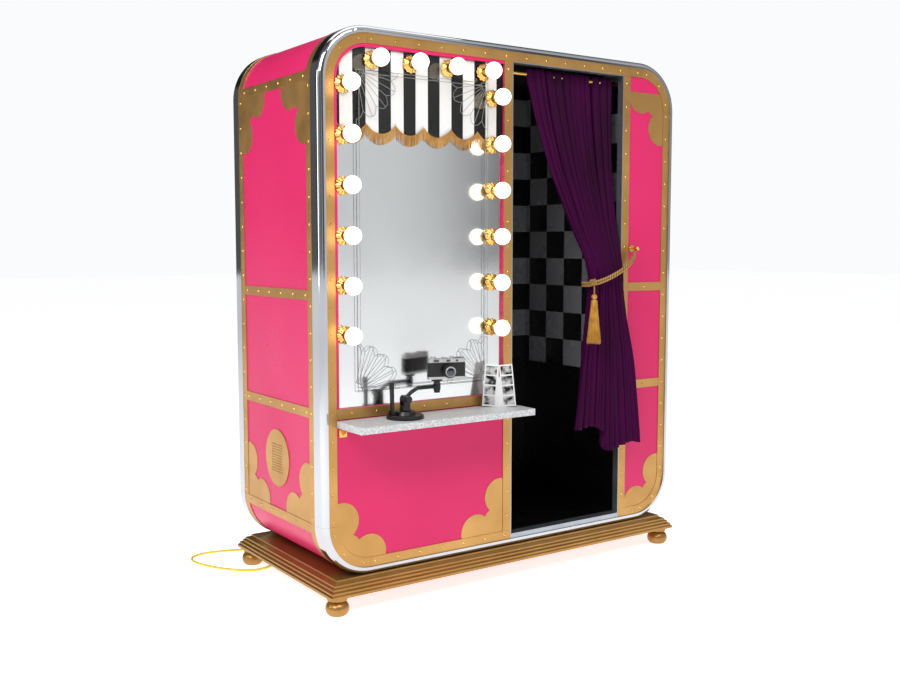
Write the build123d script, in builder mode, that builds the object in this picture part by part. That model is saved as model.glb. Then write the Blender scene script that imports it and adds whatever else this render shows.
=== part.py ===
"""Walk-in photo booth: a round-cornered cabinet on a moulded plinth, with a bulb-lit mirror, a counter
and a curtained doorway.  Millimetres, +Z up, front towards -Y, standing on Z = 0."""
import os
from math import cos, pi, radians, sin, sqrt, tan

from build123d import *

os.makedirs("parts", exist_ok=True)

# ---------------------------------------------------------------- overall sizes
cabinet_width = 1672
cabinet_depth = 710  # between the faces of the front and rear straps
cabinet_height = 1902
corner_radius = 190
foot_height = 67
foot_radius = 42
plinth_height = 53
plinth_length = 1654
plinth_depth = 802
plinth_rail = 60  # width of the moulding at its foot
deck_reach = 107  # how far the plinth's top board runs in past the moulding
deck_thickness = 12
plinth_taper = 42  # how far its top edge is set in from its lip
board = 18  # thickness of the cabinet's boards
counter_reach = 170
counter_thickness = 24
seam_gap = 0.6  # open joint between two lengths of trim
slip = 0.5  # clearance round a loose-fitting piece

# ---------------------------------------------------------------- edge trim and straps
trim_cover = 25  # how much of the face the edge trim covers
trim_return = 62  # how far it runs back along the side
trim_proud = 5  # how far it stands in front of the straps
trim_lap = 4  # how far it stands outside the side panels
trim_block = 30  # depth of its hollow nose
trim_round = 20
trim_wall = 2.5
strap_width = 35
post_strap_width = 38
strap_thickness = 3
rivet_radius = 4.5
rivet_height = 2.6
rivet_pitch = 95
plate_lobe_radius = 68
plate_lobe_far = 126  # from the plate's corner to a lobe's centre
plate_lobe_near = 16

# ---------------------------------------------------------------- heights of the bands
upper_band_z = 1108
lower_band_z = 700
counter_top_z = 678

# ---------------------------------------------------------------- doorway and cabin
door_left = -20
door_right = 548
cabin_right = 590
threshold_top = 164
jamb_depth = 30
jamb_thickness = 3
cabin_floor_z = 160
dado_top_z = 745
dado_thickness = 4
ceiling_drop = 38  # from the top of the cabinet to the underside of the ceiling
lining = 12
rod_radius = 8
rod_setback = 62
rod_drop = 28  # from the lower edge of the top strap

# ---------------------------------------------------------------- mirror bay
mirror_margin = 12  # bare strip of panel between strap and mirror
mirror_corner = 112
pane_thickness = 4
pane_setback = 4
cloth_gap = 7
mirror_thickness = 5
bulb_radius = 30
bulb_offset = 62  # from the strap face to the middle of a globe
rosette_radius = 33
bulb_left_in = 22  # from the mirror's left edge to the left row of bulbs
bulb_right_in = 55
bulb_low_z = 973
bulb_pitch = 169
bulb_top_in = 42  # from the mirror's top edge to the top row of bulbs
bulb_top_first_in = 135
bulb_row_gap = 60  # least step from a side row up or across to the top row
bulb_top_pitch = 158

# ---------------------------------------------------------------- derived places
base_z = foot_height + plinth_height
top_z = base_z + cabinet_height
mid_z = (base_z + top_z) / 2
half_width = cabinet_width / 2
flat_half = half_width - corner_radius
low_seam_z = base_z + corner_radius
high_seam_z = top_z - corner_radius
mid_y = (cabinet_depth / 2 + counter_reach - plinth_depth / 2) / 2
front_y = mid_y - cabinet_depth / 2
rear_y = mid_y + cabinet_depth / 2
face_y = front_y + strap_thickness  # outer face of the front panels
back_of_face_y = face_y + board
rear_face_y = rear_y - strap_thickness
back_of_rear_y = rear_face_y - board
shell_front_y = front_y - trim_proud + trim_block
shell_rear_y = rear_y + trim_proud - trim_block
skin_radius = corner_radius - trim_lap  # outside of the curved corner panels
side_x = half_width - trim_lap
strap_out = half_width - trim_cover
strap_in = strap_out - strap_width
head_z = top_z - trim_cover - strap_width  # lower edge of the top strap
sill_top_z = lower_band_z + strap_width / 2
post_left = door_left - post_strap_width
stile_right = door_right + post_strap_width
ceiling_z = top_z - ceiling_drop
rod_z = head_z - rod_drop
side_strap_edge = cabinet_depth / 2 + trim_proud - trim_return  # strap edge from the middle
side_strap_inner = side_strap_edge - strap_width

centre_plane = Plane.YZ
depth_plane = Plane.XZ.offset(-mid_y)
level_plane = Plane.XY.offset(mid_z)


def facing_front(y):
    """Plane whose sketch x is X and y is Z, with its outward side towards the front."""
    return Plane.XZ.offset(-y)


def slab(low_x, high_x, low_z, high_z):
    """Rectangle between two corners, for a sketch on a facing_front plane or a plan."""
    with BuildSketch() as shape:
        with Locations(((low_x + high_x) / 2, (low_z + high_z) / 2)):
            Rectangle(high_x - low_x, high_z - low_z)
    return shape.sketch


def face_outline(inset):
    """Rounded outline of the cabinet's face, set in from the outside of the trim."""
    with BuildSketch() as shape:
        with Locations((0, mid_z)):
            RectangleRounded(cabinet_width - 2 * inset, cabinet_height - 2 * inset, corner_radius - inset)
    return shape.sketch


# ================================================================ plinth
def plinth_section():
    """Stepped moulding: local x outwards from its inner face, local y up."""
    steps = [(0.0, 0.17), (0.14, 0.25), (0.14, 0.37), (0.36, 0.45), (0.36, 0.57)]
    steps += [(0.56, 0.65), (0.56, 0.76), (0.86, 0.84), (1.0, 0.90), (1.0, 1.0)]
    points = [(0, 0), (plinth_rail, 0)]
    points += [(plinth_rail - plinth_taper * inward, plinth_height * up) for inward, up in steps]
    points += [(-deck_reach, plinth_height), (-deck_reach, plinth_height - deck_thickness)]
    points += [(0, plinth_height - deck_thickness), (0, 0)]
    with BuildSketch() as shape:
        with BuildLine():
            Polyline(points)
        make_face()
    return shape.sketch


front_rail_plane = Plane(
    origin=(0, mid_y - plinth_depth / 2 + plinth_rail, foot_height), x_dir=(0, -1, 0), z_dir=(-1, 0, 0)
)
with BuildPart() as front_rail:
    with BuildSketch(front_rail_plane):
        add(plinth_section())
    extrude(amount=plinth_length / 2, both=True)
    with BuildSketch(Plane.XY.offset(foot_height)):
        with BuildLine():
            reach = plinth_depth / 2
            inner = plinth_length / 2 - reach
            Polyline(
                (-plinth_length / 2 + seam_gap / 2, mid_y - reach),
                (plinth_length / 2 - seam_gap / 2, mid_y - reach),
                (inner - seam_gap / 2, mid_y),
                (-inner + seam_gap / 2, mid_y),
                close=True,
            )
        make_face()
    extrude(amount=plinth_height, mode=Mode.INTERSECT)

end_rail_plane = Plane(
    origin=(plinth_length / 2 - plinth_rail, mid_y, foot_height), x_dir=(1, 0, 0), z_dir=(0, -1, 0)
)
with BuildPart() as end_rail:
    with BuildSketch(end_rail_plane):
        add(plinth_section())
    extrude(amount=plinth_depth / 2, both=True)
    with BuildSketch(Plane.XY.offset(foot_height)):
        with BuildLine():
            Polyline(
                (plinth_length / 2, mid_y - plinth_depth / 2 + seam_gap / 2),
                (plinth_length / 2, mid_y + plinth_depth / 2 - seam_gap / 2),
                (plinth_length / 2 - plinth_depth / 2, mid_y),
                close=True,
            )
        make_face()
    extrude(amount=plinth_height, mode=Mode.INTERSECT)

with BuildPart() as plinth_moulding:
    add(front_rail.part)
    mirror(front_rail.part, about=depth_plane)
    add(end_rail.part)
    mirror(end_rail.part, about=centre_plane)
plinth_moulding.part.label = "plinth_moulding"
export_step(plinth_moulding.part, "parts/plinth_moulding.step")

foot_inset = foot_radius + 3
with BuildPart() as bun_foot:
    with BuildSketch(Plane.XZ):
        with BuildLine():
            Line((0, 0), (0.7 * foot_radius, 0))
            ThreePointArc(
                (0.7 * foot_radius, 0),
                (foot_radius, 0.36 * foot_height),
                (0.6 * foot_radius, 0.74 * foot_height),
            )
            Polyline(
                (0.6 * foot_radius, 0.74 * foot_height),
                (0.85 * foot_radius, 0.8 * foot_height),
                (0.85 * foot_radius, foot_height),
                (0, foot_height),
                (0, 0),
            )
        make_face()
    revolve(axis=Axis.Z)
with BuildPart() as bun_feet:
    for side in (-1, 1):
        for end in (-1, 1):
            foot_x = side * (plinth_length / 2 - foot_inset)
            foot_y = mid_y + end * (plinth_depth / 2 - foot_inset)
            with Locations((foot_x, foot_y)):
                add(bun_foot.part)
bun_feet.part.label = "bun_feet"
export_step(bun_feet.part, "parts/bun_feet.step")

# ================================================================ cabinet shell
with BuildPart() as top_and_bottom_panels:
    with BuildSketch(facing_front(shell_rear_y)):
        add(slab(-flat_half, flat_half, top_z - trim_lap - board, top_z - trim_lap))
    extrude(amount=shell_rear_y - shell_front_y)
    mirror(about=level_plane)
top_and_bottom_panels.part.label = "top_and_bottom_panels"
export_step(top_and_bottom_panels.part, "parts/top_and_bottom_panels.step")

with BuildPart() as one_corner:
    with BuildSketch(facing_front(shell_rear_y)):
        with Locations((flat_half, high_seam_z)):
            Circle(skin_radius)
            Circle(skin_radius - board, mode=Mode.SUBTRACT)
            Rectangle(corner_radius, corner_radius, align=(Align.MIN, Align.MIN), mode=Mode.INTERSECT)
    extrude(amount=shell_rear_y - shell_front_y)
with BuildPart() as corner_panels:
    add(one_corner.part)
    mirror(about=centre_plane)
    mirror(about=level_plane)
corner_panels.part.label = "corner_panels"
export_step(corner_panels.part, "parts/corner_panels.step")

grille_width = 196
grille_height = 213
grille_z = 498
speaker_radius = 76
with BuildPart() as left_side_panel:
    with BuildSketch(Plane.YZ.offset(-side_x)):
        add(slab(shell_front_y, shell_rear_y, low_seam_z, high_seam_z))
        with Locations((mid_y, grille_z)):
            Circle(speaker_radius, mode=Mode.SUBTRACT)
    extrude(amount=board)
left_side_panel.part.label = "left_side_panel"
export_step(left_side_panel.part, "parts/left_side_panel.step")

with BuildPart() as right_side_panel:
    with BuildSketch(Plane.YZ.offset(side_x - board)):
        add(slab(shell_front_y, shell_rear_y, low_seam_z, high_seam_z))
    extrude(amount=board)
right_side_panel.part.label = "right_side_panel"
export_step(right_side_panel.part, "parts/right_side_panel.step")

service_width = 520
service_height = 1250
service_x = -380
service_z = 1000
door_gap = 3
with BuildPart() as rear_panel:
    with BuildSketch(facing_front(rear_face_y)):
        add(face_outline(trim_cover))
        with Locations((service_x, service_z)):
            Rectangle(service_width + 2 * door_gap, service_height + 2 * door_gap, mode=Mode.SUBTRACT)
    extrude(amount=board)
rear_panel.part.label = "rear_panel"
export_step(rear_panel.part, "parts/rear_panel.step")

# ---------------------------------------------------------------- service door, hinges and lock
lock_radius = 11
lock_x = service_x + service_width / 2 - 40
with BuildPart() as service_door:
    with BuildSketch(facing_front(rear_face_y)):
        with Locations((service_x, service_z)):
            Rectangle(service_width, service_height)
        with Locations((lock_x, service_z)):
            Circle(lock_radius + 0.06, mode=Mode.SUBTRACT)
    extrude(amount=board)
service_door.part.label = "service_door"
export_step(service_door.part, "parts/service_door.step")

hinge_height = 80
hinge_leaf = 32
hinge_leaf_thickness = 2.5
knuckle_radius = 6
hinge_pin_radius = 3
hinge_x = service_x - service_width / 2 - door_gap / 2
hinge_y = rear_face_y + knuckle_radius + 0.3
hinge_levels = [service_z - 500, service_z, service_z + 500]
knuckle = hinge_height / 5


def hinge_half(level, side, knuckles, bore):
    """One leaf on the given side of the hinge line, with the knuckles that belong to it."""
    with BuildPart() as half:
        with BuildSketch(facing_front(rear_face_y + hinge_leaf_thickness)):
            leaf_mid = hinge_x + side * (hinge_leaf / 2 + knuckle_radius + 1)
            with Locations((leaf_mid, level)):
                Rectangle(hinge_leaf, hinge_height)
            with Locations((leaf_mid, level - 25), (leaf_mid, level + 25)):
                Circle(2.2, mode=Mode.SUBTRACT)
        extrude(amount=hinge_leaf_thickness)
        for place in knuckles:
            bottom = level - hinge_height / 2 + place * knuckle
            with BuildSketch(Plane.XY.offset(bottom + 0.2)):
                with Locations((hinge_x, hinge_y)):
                    Circle(knuckle_radius)
                with Locations((hinge_x + side * 4, rear_face_y + hinge_leaf_thickness / 2)):
                    Rectangle(8, hinge_leaf_thickness)
                with Locations((hinge_x, hinge_y)):
                    Circle(bore, mode=Mode.SUBTRACT)
            extrude(amount=knuckle - 0.4)
    return half.part


with BuildPart() as hinge_leaves_fixed:
    for level in hinge_levels:
        add(hinge_half(level, -1, (0, 2, 4), hinge_pin_radius - 0.5))
        with BuildSketch(Plane.XY.offset(level - hinge_height / 2)):
            with Locations((hinge_x, hinge_y)):
                Circle(hinge_pin_radius)
        extrude(amount=hinge_height)
hinge_leaves_fixed.part.label = "hinge_leaves_fixed"
export_step(hinge_leaves_fixed.part, "parts/hinge_leaves_fixed.step")

with BuildPart() as hinge_leaves_door:
    for level in hinge_levels:
        add(hinge_half(level, 1, (1, 3), hinge_pin_radius + 0.06))
hinge_leaves_door.part.label = "hinge_leaves_door"
export_step(hinge_leaves_door.part, "parts/hinge_leaves_door.step")

with BuildPart() as cam_lock:
    with BuildSketch(facing_front(rear_face_y + 3)):
        with Locations((lock_x, service_z)):
            Circle(lock_radius)
    extrude(amount=board + 3 + 1)
    with BuildSketch(facing_front(rear_face_y + 5)):
        with Locations((lock_x, service_z)):
            Circle(lock_radius + 5)
            Rectangle(2.5, 12, mode=Mode.SUBTRACT)
    extrude(amount=4.5)
    with BuildSketch(facing_front(back_of_rear_y - 1)):
        with Locations((lock_x, service_z)):
            Circle(lock_radius)
        with Locations((lock_x, service_z - 30)):
            Rectangle(16, 60)
    extrude(amount=4)
cam_lock.part.label = "cam_lock"
export_step(cam_lock.part, "parts/cam_lock.step")

# ================================================================ front panels
with BuildPart() as lower_front_panel:
    with BuildSketch(facing_front(back_of_face_y)):
        add(face_outline(trim_cover))
        add(slab(-half_width, door_left, base_z, sill_top_z), mode=Mode.INTERSECT)
    extrude(amount=board)
lower_front_panel.part.label = "lower_front_panel"
export_step(lower_front_panel.part, "parts/lower_front_panel.step")

with BuildPart() as right_front_panel:
    with BuildSketch(facing_front(back_of_face_y)):
        add(face_outline(trim_cover))
        add(slab(door_right, half_width, base_z, top_z), mode=Mode.INTERSECT)
    extrude(amount=board)
right_front_panel.part.label = "right_front_panel"
export_step(right_front_panel.part, "parts/right_front_panel.step")

mirror_left = -strap_in + mirror_margin
mirror_right = post_left
mirror_top = head_z - mirror_margin


def mirror_outline(clearance):
    """Opening of the mirror bay with its round upper left corner, shrunk by a clearance."""
    with BuildSketch() as shape:
        low_z = sill_top_z + clearance
        add(slab(mirror_left + clearance, mirror_right - clearance, low_z, mirror_top - clearance))
        corner = shape.vertices().sort_by(Axis.Y)[-2:].sort_by(Axis.X)[0]
        fillet(corner, mirror_corner)
    return shape.sketch


with BuildPart() as mirror_surround:
    with BuildSketch(facing_front(back_of_face_y)):
        add(face_outline(trim_cover))
        add(slab(-half_width, door_right, sill_top_z, top_z), mode=Mode.INTERSECT)
        add(slab(door_left, door_right, base_z, head_z), mode=Mode.SUBTRACT)
        add(mirror_outline(0), mode=Mode.SUBTRACT)
    extrude(amount=board)
mirror_surround.part.label = "mirror_surround"
export_step(mirror_surround.part, "parts/mirror_surround.step")

# ================================================================ chrome edge trim
def edge_trim_section():
    """Hollow bull-nose: local x runs inwards over the face, local y runs back along the side."""
    knee = trim_round * (1 - 1 / sqrt(2))
    inner_round = trim_round - trim_wall
    inner_knee = trim_wall + inner_round * (1 - 1 / sqrt(2))
    with BuildSketch() as shape:
        with BuildLine():
            ThreePointArc((0, trim_round), (knee, knee), (trim_round, 0))
            Polyline(
                (trim_round, 0),
                (trim_cover, 0),
                (trim_cover, trim_block),
                (trim_lap, trim_block),
                (trim_lap, trim_return),
                (0, trim_return),
                (0, trim_round),
            )
        make_face()
        with BuildLine():
            ThreePointArc((trim_wall, trim_round), (inner_knee, inner_knee), (trim_round, trim_wall))
            Polyline(
                (trim_round, trim_wall),
                (trim_cover - trim_wall, trim_wall),
                (trim_cover - trim_wall, trim_block - trim_wall),
                (trim_wall, trim_block - trim_wall),
                (trim_wall, trim_round),
            )
        make_face(mode=Mode.SUBTRACT)
    return shape.sketch


trim_front_y = front_y - trim_proud
top_trim_plane = Plane(
    origin=(-flat_half + seam_gap / 2, trim_front_y, top_z), x_dir=(0, 0, -1), z_dir=(1, 0, 0)
)
side_trim_plane = Plane(
    origin=(half_width, trim_front_y, high_seam_z - seam_gap / 2), x_dir=(-1, 0, 0), z_dir=(0, 0, -1)
)
corner_trim_plane = Plane(origin=(half_width, trim_front_y, high_seam_z), x_dir=(-1, 0, 0), z_dir=(0, 0, -1))
corner_axis = Axis((flat_half, 0, high_seam_z), (0, 1, 0))
with BuildPart() as top_trim:
    with BuildSketch(top_trim_plane):
        add(edge_trim_section())
    extrude(amount=2 * flat_half - seam_gap)
with BuildPart() as side_trim:
    with BuildSketch(side_trim_plane):
        add(edge_trim_section())
    extrude(amount=high_seam_z - low_seam_z - seam_gap)
with BuildPart() as corner_trim:
    with BuildSketch(corner_trim_plane):
        add(edge_trim_section())
    revolve(axis=corner_axis, revolution_arc=-90)
with BuildPart() as chrome_edge_trim:
    add(top_trim.part)
    mirror(top_trim.part, about=level_plane)
    add(side_trim.part)
    mirror(side_trim.part, about=centre_plane)
    corners = [corner_trim.part, mirror(corner_trim.part, about=centre_plane, mode=Mode.PRIVATE)]
    corners += [mirror(piece, about=level_plane, mode=Mode.PRIVATE) for piece in corners]
    add(corners)
    mirror(about=depth_plane)
chrome_edge_trim.part.label = "chrome_edge_trim"
export_step(chrome_edge_trim.part, "parts/chrome_edge_trim.step")

# ================================================================ straps, plates and rivets
def ring_with_seams():
    """Flat strap right round the face, in straight lengths and four curved corners."""
    with BuildSketch() as shape:
        add(face_outline(trim_cover))
        add(face_outline(trim_cover + strap_width), mode=Mode.SUBTRACT)
        for side in (-1, 1):
            for seam_z in (base_z, top_z):
                with Locations((side * flat_half, seam_z)):
                    Rectangle(seam_gap, 4 * strap_width, mode=Mode.SUBTRACT)
            for seam_z in (low_seam_z, high_seam_z):
                with Locations((side * half_width, seam_z)):
                    Rectangle(4 * strap_width, seam_gap, mode=Mode.SUBTRACT)
    return shape.sketch


with BuildPart() as front_straps:
    with BuildSketch(facing_front(face_y)):
        add(ring_with_seams())
        add(slab(door_left, door_right, base_z, base_z + 2 * strap_width), mode=Mode.SUBTRACT)
        low_z = base_z + trim_cover + strap_width + seam_gap
        add(slab(post_left, door_left, low_z, head_z - seam_gap))
        add(slab(door_right, stile_right, low_z, head_z - seam_gap))
        left_x = -strap_in + seam_gap
        add(slab(left_x, post_left - seam_gap, lower_band_z - strap_width / 2, sill_top_z))
        for band_z in (lower_band_z, upper_band_z):
            band_low = band_z - strap_width / 2
            add(slab(stile_right + seam_gap, strap_in - seam_gap, band_low, band_low + strap_width))
    extrude(amount=strap_thickness)
front_straps.part.label = "front_straps"
export_step(front_straps.part, "parts/front_straps.step")

curved_angle = 180 * strap_width / (pi * skin_radius)
with BuildPart() as one_side_straps:
    with BuildSketch(Plane.YZ.offset(side_x)):
        for side in (-1, 1):
            edge_y = mid_y + side * (side_strap_edge - strap_width / 2)
            half = strap_width / 2
            add(slab(edge_y - half, edge_y + half, low_seam_z + seam_gap, high_seam_z - seam_gap))
        inner_half = side_strap_inner - seam_gap
        for band_z in (lower_band_z, upper_band_z):
            low = band_z - strap_width / 2
            add(slab(mid_y - inner_half, mid_y + inner_half, low, low + strap_width))
    extrude(amount=strap_thickness)
    turn_planes = [Plane(origin=(side_x, mid_y, seam_z), x_dir=(1, 0, 0), z_dir=(0, 0, 1))
                   for seam_z in (high_seam_z, low_seam_z)]
    for turn_plane, seam_z, sign in zip(turn_planes, (high_seam_z, low_seam_z), (-1, 1)):
        turn_axis = Axis((flat_half, 0, seam_z), (0, 1, 0))
        with BuildSketch(turn_plane):
            with Locations((strap_thickness / 2, 0)):
                Rectangle(strap_thickness, 2 * side_strap_edge)
        revolve(axis=turn_axis, revolution_arc=sign * curved_angle)
        with BuildSketch(turn_plane):
            edge = side_strap_edge - strap_width / 2
            with Locations((strap_thickness / 2, -edge), (strap_thickness / 2, edge)):
                Rectangle(strap_thickness, strap_width)
        revolve(axis=turn_axis, revolution_arc=sign * 90)

with BuildPart() as rear_ring:
    with BuildSketch(facing_front(rear_y)):
        add(ring_with_seams())
    extrude(amount=strap_thickness)
with BuildPart() as body_straps:
    add(one_side_straps.part)
    mirror(one_side_straps.part, about=centre_plane)
    add(rear_ring.part)
body_straps.part.label = "body_straps"
export_step(body_straps.part, "parts/body_straps.step")


def corner_plate():
    """Two-lobed plate in the quarter above and right of its corner."""
    far, near, lobe = plate_lobe_far, plate_lobe_near, plate_lobe_radius
    with BuildSketch() as shape:
        with Locations((far, near), (near, far + near)):
            Circle(lobe)
        with Locations((lobe / 2 + 4, lobe / 2 + 6)):
            Circle(0.82 * lobe)
        add(slab(0, far, 0, near + lobe / 2))
        add(slab(0, near + lobe / 2, 0, far + near))
        add(slab(0, 3 * far, 0, 3 * far), mode=Mode.INTERSECT)
    return shape.sketch


def placed_plate(corner_x, corner_y, sign_x, sign_y):
    """A corner plate whose lobes run the ways that the two signs say."""
    shape = corner_plate()
    if sign_x < 0:
        shape = mirror(shape, about=Plane.YZ, mode=Mode.PRIVATE)
    if sign_y < 0:
        shape = mirror(shape, about=Plane.XZ, mode=Mode.PRIVATE)
    return shape.moved(Location((corner_x, corner_y)))


plate_top_z = head_z - 60
floor_strap_z = base_z + trim_cover + strap_width
with BuildPart() as front_plates:
    with BuildSketch(facing_front(face_y)):
        add(placed_plate(-strap_in, floor_strap_z, 1, 1))
        add(placed_plate(post_left - seam_gap, floor_strap_z, -1, 1))
        add(slab(-half_width, post_left - seam_gap, base_z, sill_top_z), mode=Mode.INTERSECT)
    extrude(amount=strap_thickness / 2)
with BuildPart() as right_plates:
    with BuildSketch(facing_front(face_y)):
        add(placed_plate(strap_in, floor_strap_z, -1, 1))
        add(placed_plate(strap_in, plate_top_z, -1, -1))
        add(slab(stile_right + seam_gap, half_width, base_z, top_z), mode=Mode.INTERSECT)
    extrude(amount=strap_thickness / 2)
with BuildPart() as inside_of_ring:
    with BuildSketch(facing_front(face_y)):
        add(face_outline(trim_cover + strap_width + seam_gap))
    extrude(amount=strap_thickness)
with BuildPart() as trimmed_front_plates:
    add(front_plates.part)
    add(right_plates.part)
    add(inside_of_ring.part, mode=Mode.INTERSECT)
with BuildPart() as one_side_plates:
    with BuildSketch(Plane.YZ.offset(side_x)):
        for side in (-1, 1):
            corner_y = mid_y + side * (side_strap_inner - seam_gap)
            add(placed_plate(corner_y, high_seam_z, -side, -1))
            add(placed_plate(corner_y, low_seam_z, -side, 1))
    extrude(amount=strap_thickness / 2)
with BuildPart() as corner_plates:
    add(trimmed_front_plates.part)
    add(one_side_plates.part)
    mirror(one_side_plates.part, about=centre_plane)
corner_plates.part.label = "corner_plates"
export_step(corner_plates.part, "parts/corner_plates.step")


def evenly(low, high):
    """Places from low to high, both ends included, about one rivet pitch apart."""
    count = max(1, round(abs(high - low) / rivet_pitch))
    return [low + (high - low) * step / count for step in range(count + 1)]


ring_half_x = half_width - trim_cover - strap_width / 2
ring_low_z = base_z + trim_cover + strap_width / 2
ring_high_z = top_z - trim_cover - strap_width / 2
ring_corner = corner_radius - trim_cover - strap_width / 2
clear_of_seam = 18
ring_rivets = []
for ring_z in (ring_low_z, ring_high_z):
    ring_rivets += [(x, ring_z) for x in evenly(-flat_half + clear_of_seam, flat_half - clear_of_seam)]
for ring_x in (-ring_half_x, ring_half_x):
    ring_rivets += [(ring_x, z) for z in evenly(low_seam_z + clear_of_seam, high_seam_z - clear_of_seam)]
for side in (-1, 1):
    for centre_z, up in ((low_seam_z, -1), (high_seam_z, 1)):
        for turn in (12, 45, 78):
            along = ring_corner * cos(radians(turn))
            above = ring_corner * sin(radians(turn))
            ring_rivets.append((side * (flat_half + along), centre_z + up * above))
inner_rivets = []
post_levels = evenly(floor_strap_z + 60, head_z - 30)
for post_x in ((post_left + door_left) / 2, (door_right + stile_right) / 2):
    inner_rivets += [(post_x, z) for z in post_levels]
inner_rivets += [(x, lower_band_z) for x in evenly(-strap_in + 60, post_left - 60)]
for band_z in (lower_band_z, upper_band_z):
    inner_rivets += [((stile_right + strap_in) / 2, band_z)]
front_rivets = inner_rivets + [
    (x, z) for x, z in ring_rivets if not (z < floor_strap_z and door_left - 12 < x < door_right + 12)
]
side_rivets = []
for side in (-1, 1):
    edge_y = mid_y + side * (side_strap_edge - strap_width / 2)
    side_rivets += [(edge_y, z) for z in evenly(low_seam_z + clear_of_seam, high_seam_z - clear_of_seam)]
band_rivets = evenly(mid_y - side_strap_inner + 20, mid_y + side_strap_inner - 20)
for band_z in (lower_band_z, upper_band_z):
    side_rivets += [(y, band_z) for y in band_rivets]
with BuildPart() as strap_rivets:
    with BuildSketch(facing_front(front_y)):
        with Locations(front_rivets):
            Circle(rivet_radius)
    extrude(amount=rivet_height, taper=35)
    with BuildSketch(Plane.XZ.offset(-rear_y)):
        with Locations(ring_rivets):
            Circle(rivet_radius)
    extrude(amount=-rivet_height, taper=35)
    with BuildSketch(Plane.YZ.offset(side_x + strap_thickness)):
        with Locations(side_rivets):
            Circle(rivet_radius)
    extrude(amount=rivet_height, taper=35)
    with BuildSketch(Plane.YZ.offset(-side_x - strap_thickness)):
        with Locations(side_rivets):
            Circle(rivet_radius)
    extrude(amount=-rivet_height, taper=35)
    for side in (-1, 1):
        for seam_z, up in ((low_seam_z, -1), (high_seam_z, 1)):
            tilt = radians(curved_angle / 2)
            band_radius = skin_radius + strap_thickness
            band_plane = Plane(
                origin=(
                    side * (flat_half + band_radius * cos(tilt)),
                    mid_y,
                    seam_z + up * band_radius * sin(tilt),
                ),
                x_dir=(0, 1, 0),
                z_dir=(side * cos(tilt), 0, up * sin(tilt)),
            )
            with BuildSketch(band_plane):
                with Locations([(y - mid_y, 0) for y in band_rivets]):
                    Circle(rivet_radius)
            extrude(amount=rivet_height, taper=35)
strap_rivets.part.label = "strap_rivets"
export_step(strap_rivets.part, "parts/strap_rivets.step")

# ================================================================ speaker behind its grille
hole_pitch = 10
hole_radius = 2.6
with BuildPart() as speaker_grille:
    with BuildSketch(Plane.YZ.offset(-side_x - strap_thickness)):
        with Locations((mid_y, grille_z)):
            Ellipse(grille_width / 2, grille_height / 2)
            with GridLocations(hole_pitch, hole_pitch, 9, 11):
                Circle(hole_radius, mode=Mode.SUBTRACT)
    extrude(amount=strap_thickness)
speaker_grille.part.label = "speaker_grille"
export_step(speaker_grille.part, "parts/speaker_grille.step")

panel_inside_x = -side_x + board
with BuildPart() as speaker_driver:
    with BuildSketch(Plane.XY.offset(grille_z)):
        with BuildLine():
            Polyline(
                (panel_inside_x + 26, mid_y),
                (panel_inside_x + 26, mid_y + 14),
                (panel_inside_x, mid_y + speaker_radius - 8),
                (panel_inside_x, mid_y + speaker_radius + 14),
                (panel_inside_x + 6, mid_y + speaker_radius + 14),
                (panel_inside_x + 40, mid_y + 46),
                (panel_inside_x + 66, mid_y + 46),
                (panel_inside_x + 66, mid_y),
                close=True,
            )
        make_face()
    revolve(axis=Axis((0, mid_y, grille_z), (1, 0, 0)))
speaker_driver.part.label = "speaker_driver"
export_step(speaker_driver.part, "parts/speaker_driver.step")

# ================================================================ cabin
shell_floor_z = base_z + trim_lap + board
shell_roof_z = top_z - trim_lap - board
cabin_back_y = back_of_rear_y - lining


def upright_board(low_x, high_x, low_y, high_y, low_z, high_z):
    """Plain board between two corners."""
    with BuildPart() as panel:
        with BuildSketch(Plane.XY.offset(low_z)):
            add(slab(low_x, high_x, low_y, high_y))
        extrude(amount=high_z - low_z)
    return panel.part


with BuildPart() as cabin_floor:
    add(upright_board(door_left, cabin_right, shell_front_y, shell_rear_y, shell_floor_z, cabin_floor_z))
cabin_floor.part.label = "cabin_floor"
export_step(cabin_floor.part, "parts/cabin_floor.step")

window_size = 180
window_z = 1370
button_z = 1170
with BuildPart() as partition_wall:
    add(
        upright_board(
            door_left - board, door_left, shell_front_y, shell_rear_y, shell_floor_z, shell_roof_z
        )
    )
    with BuildSketch(Plane.YZ.offset(door_left - board)):
        with Locations((mid_y, window_z)):
            Rectangle(window_size, window_size)
    extrude(amount=board, mode=Mode.SUBTRACT)
partition_wall.part.label = "partition_wall"
export_step(partition_wall.part, "parts/partition_wall.step")

with BuildPart() as cabin_right_wall:
    add(
        upright_board(
            cabin_right, cabin_right + board, shell_front_y, shell_rear_y, shell_floor_z, shell_roof_z
        )
    )
cabin_right_wall.part.label = "cabin_right_wall"
export_step(cabin_right_wall.part, "parts/cabin_right_wall.step")

with BuildPart() as cabin_back_wall:
    add(upright_board(door_left, cabin_right, cabin_back_y, back_of_rear_y, cabin_floor_z, ceiling_z))
cabin_back_wall.part.label = "cabin_back_wall"
export_step(cabin_back_wall.part, "parts/cabin_back_wall.step")

with BuildPart() as cabin_ceiling:
    add(upright_board(door_left, cabin_right, shell_front_y, shell_rear_y, ceiling_z, ceiling_z + lining))
cabin_ceiling.part.label = "cabin_ceiling"
export_step(cabin_ceiling.part, "parts/cabin_ceiling.step")

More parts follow.
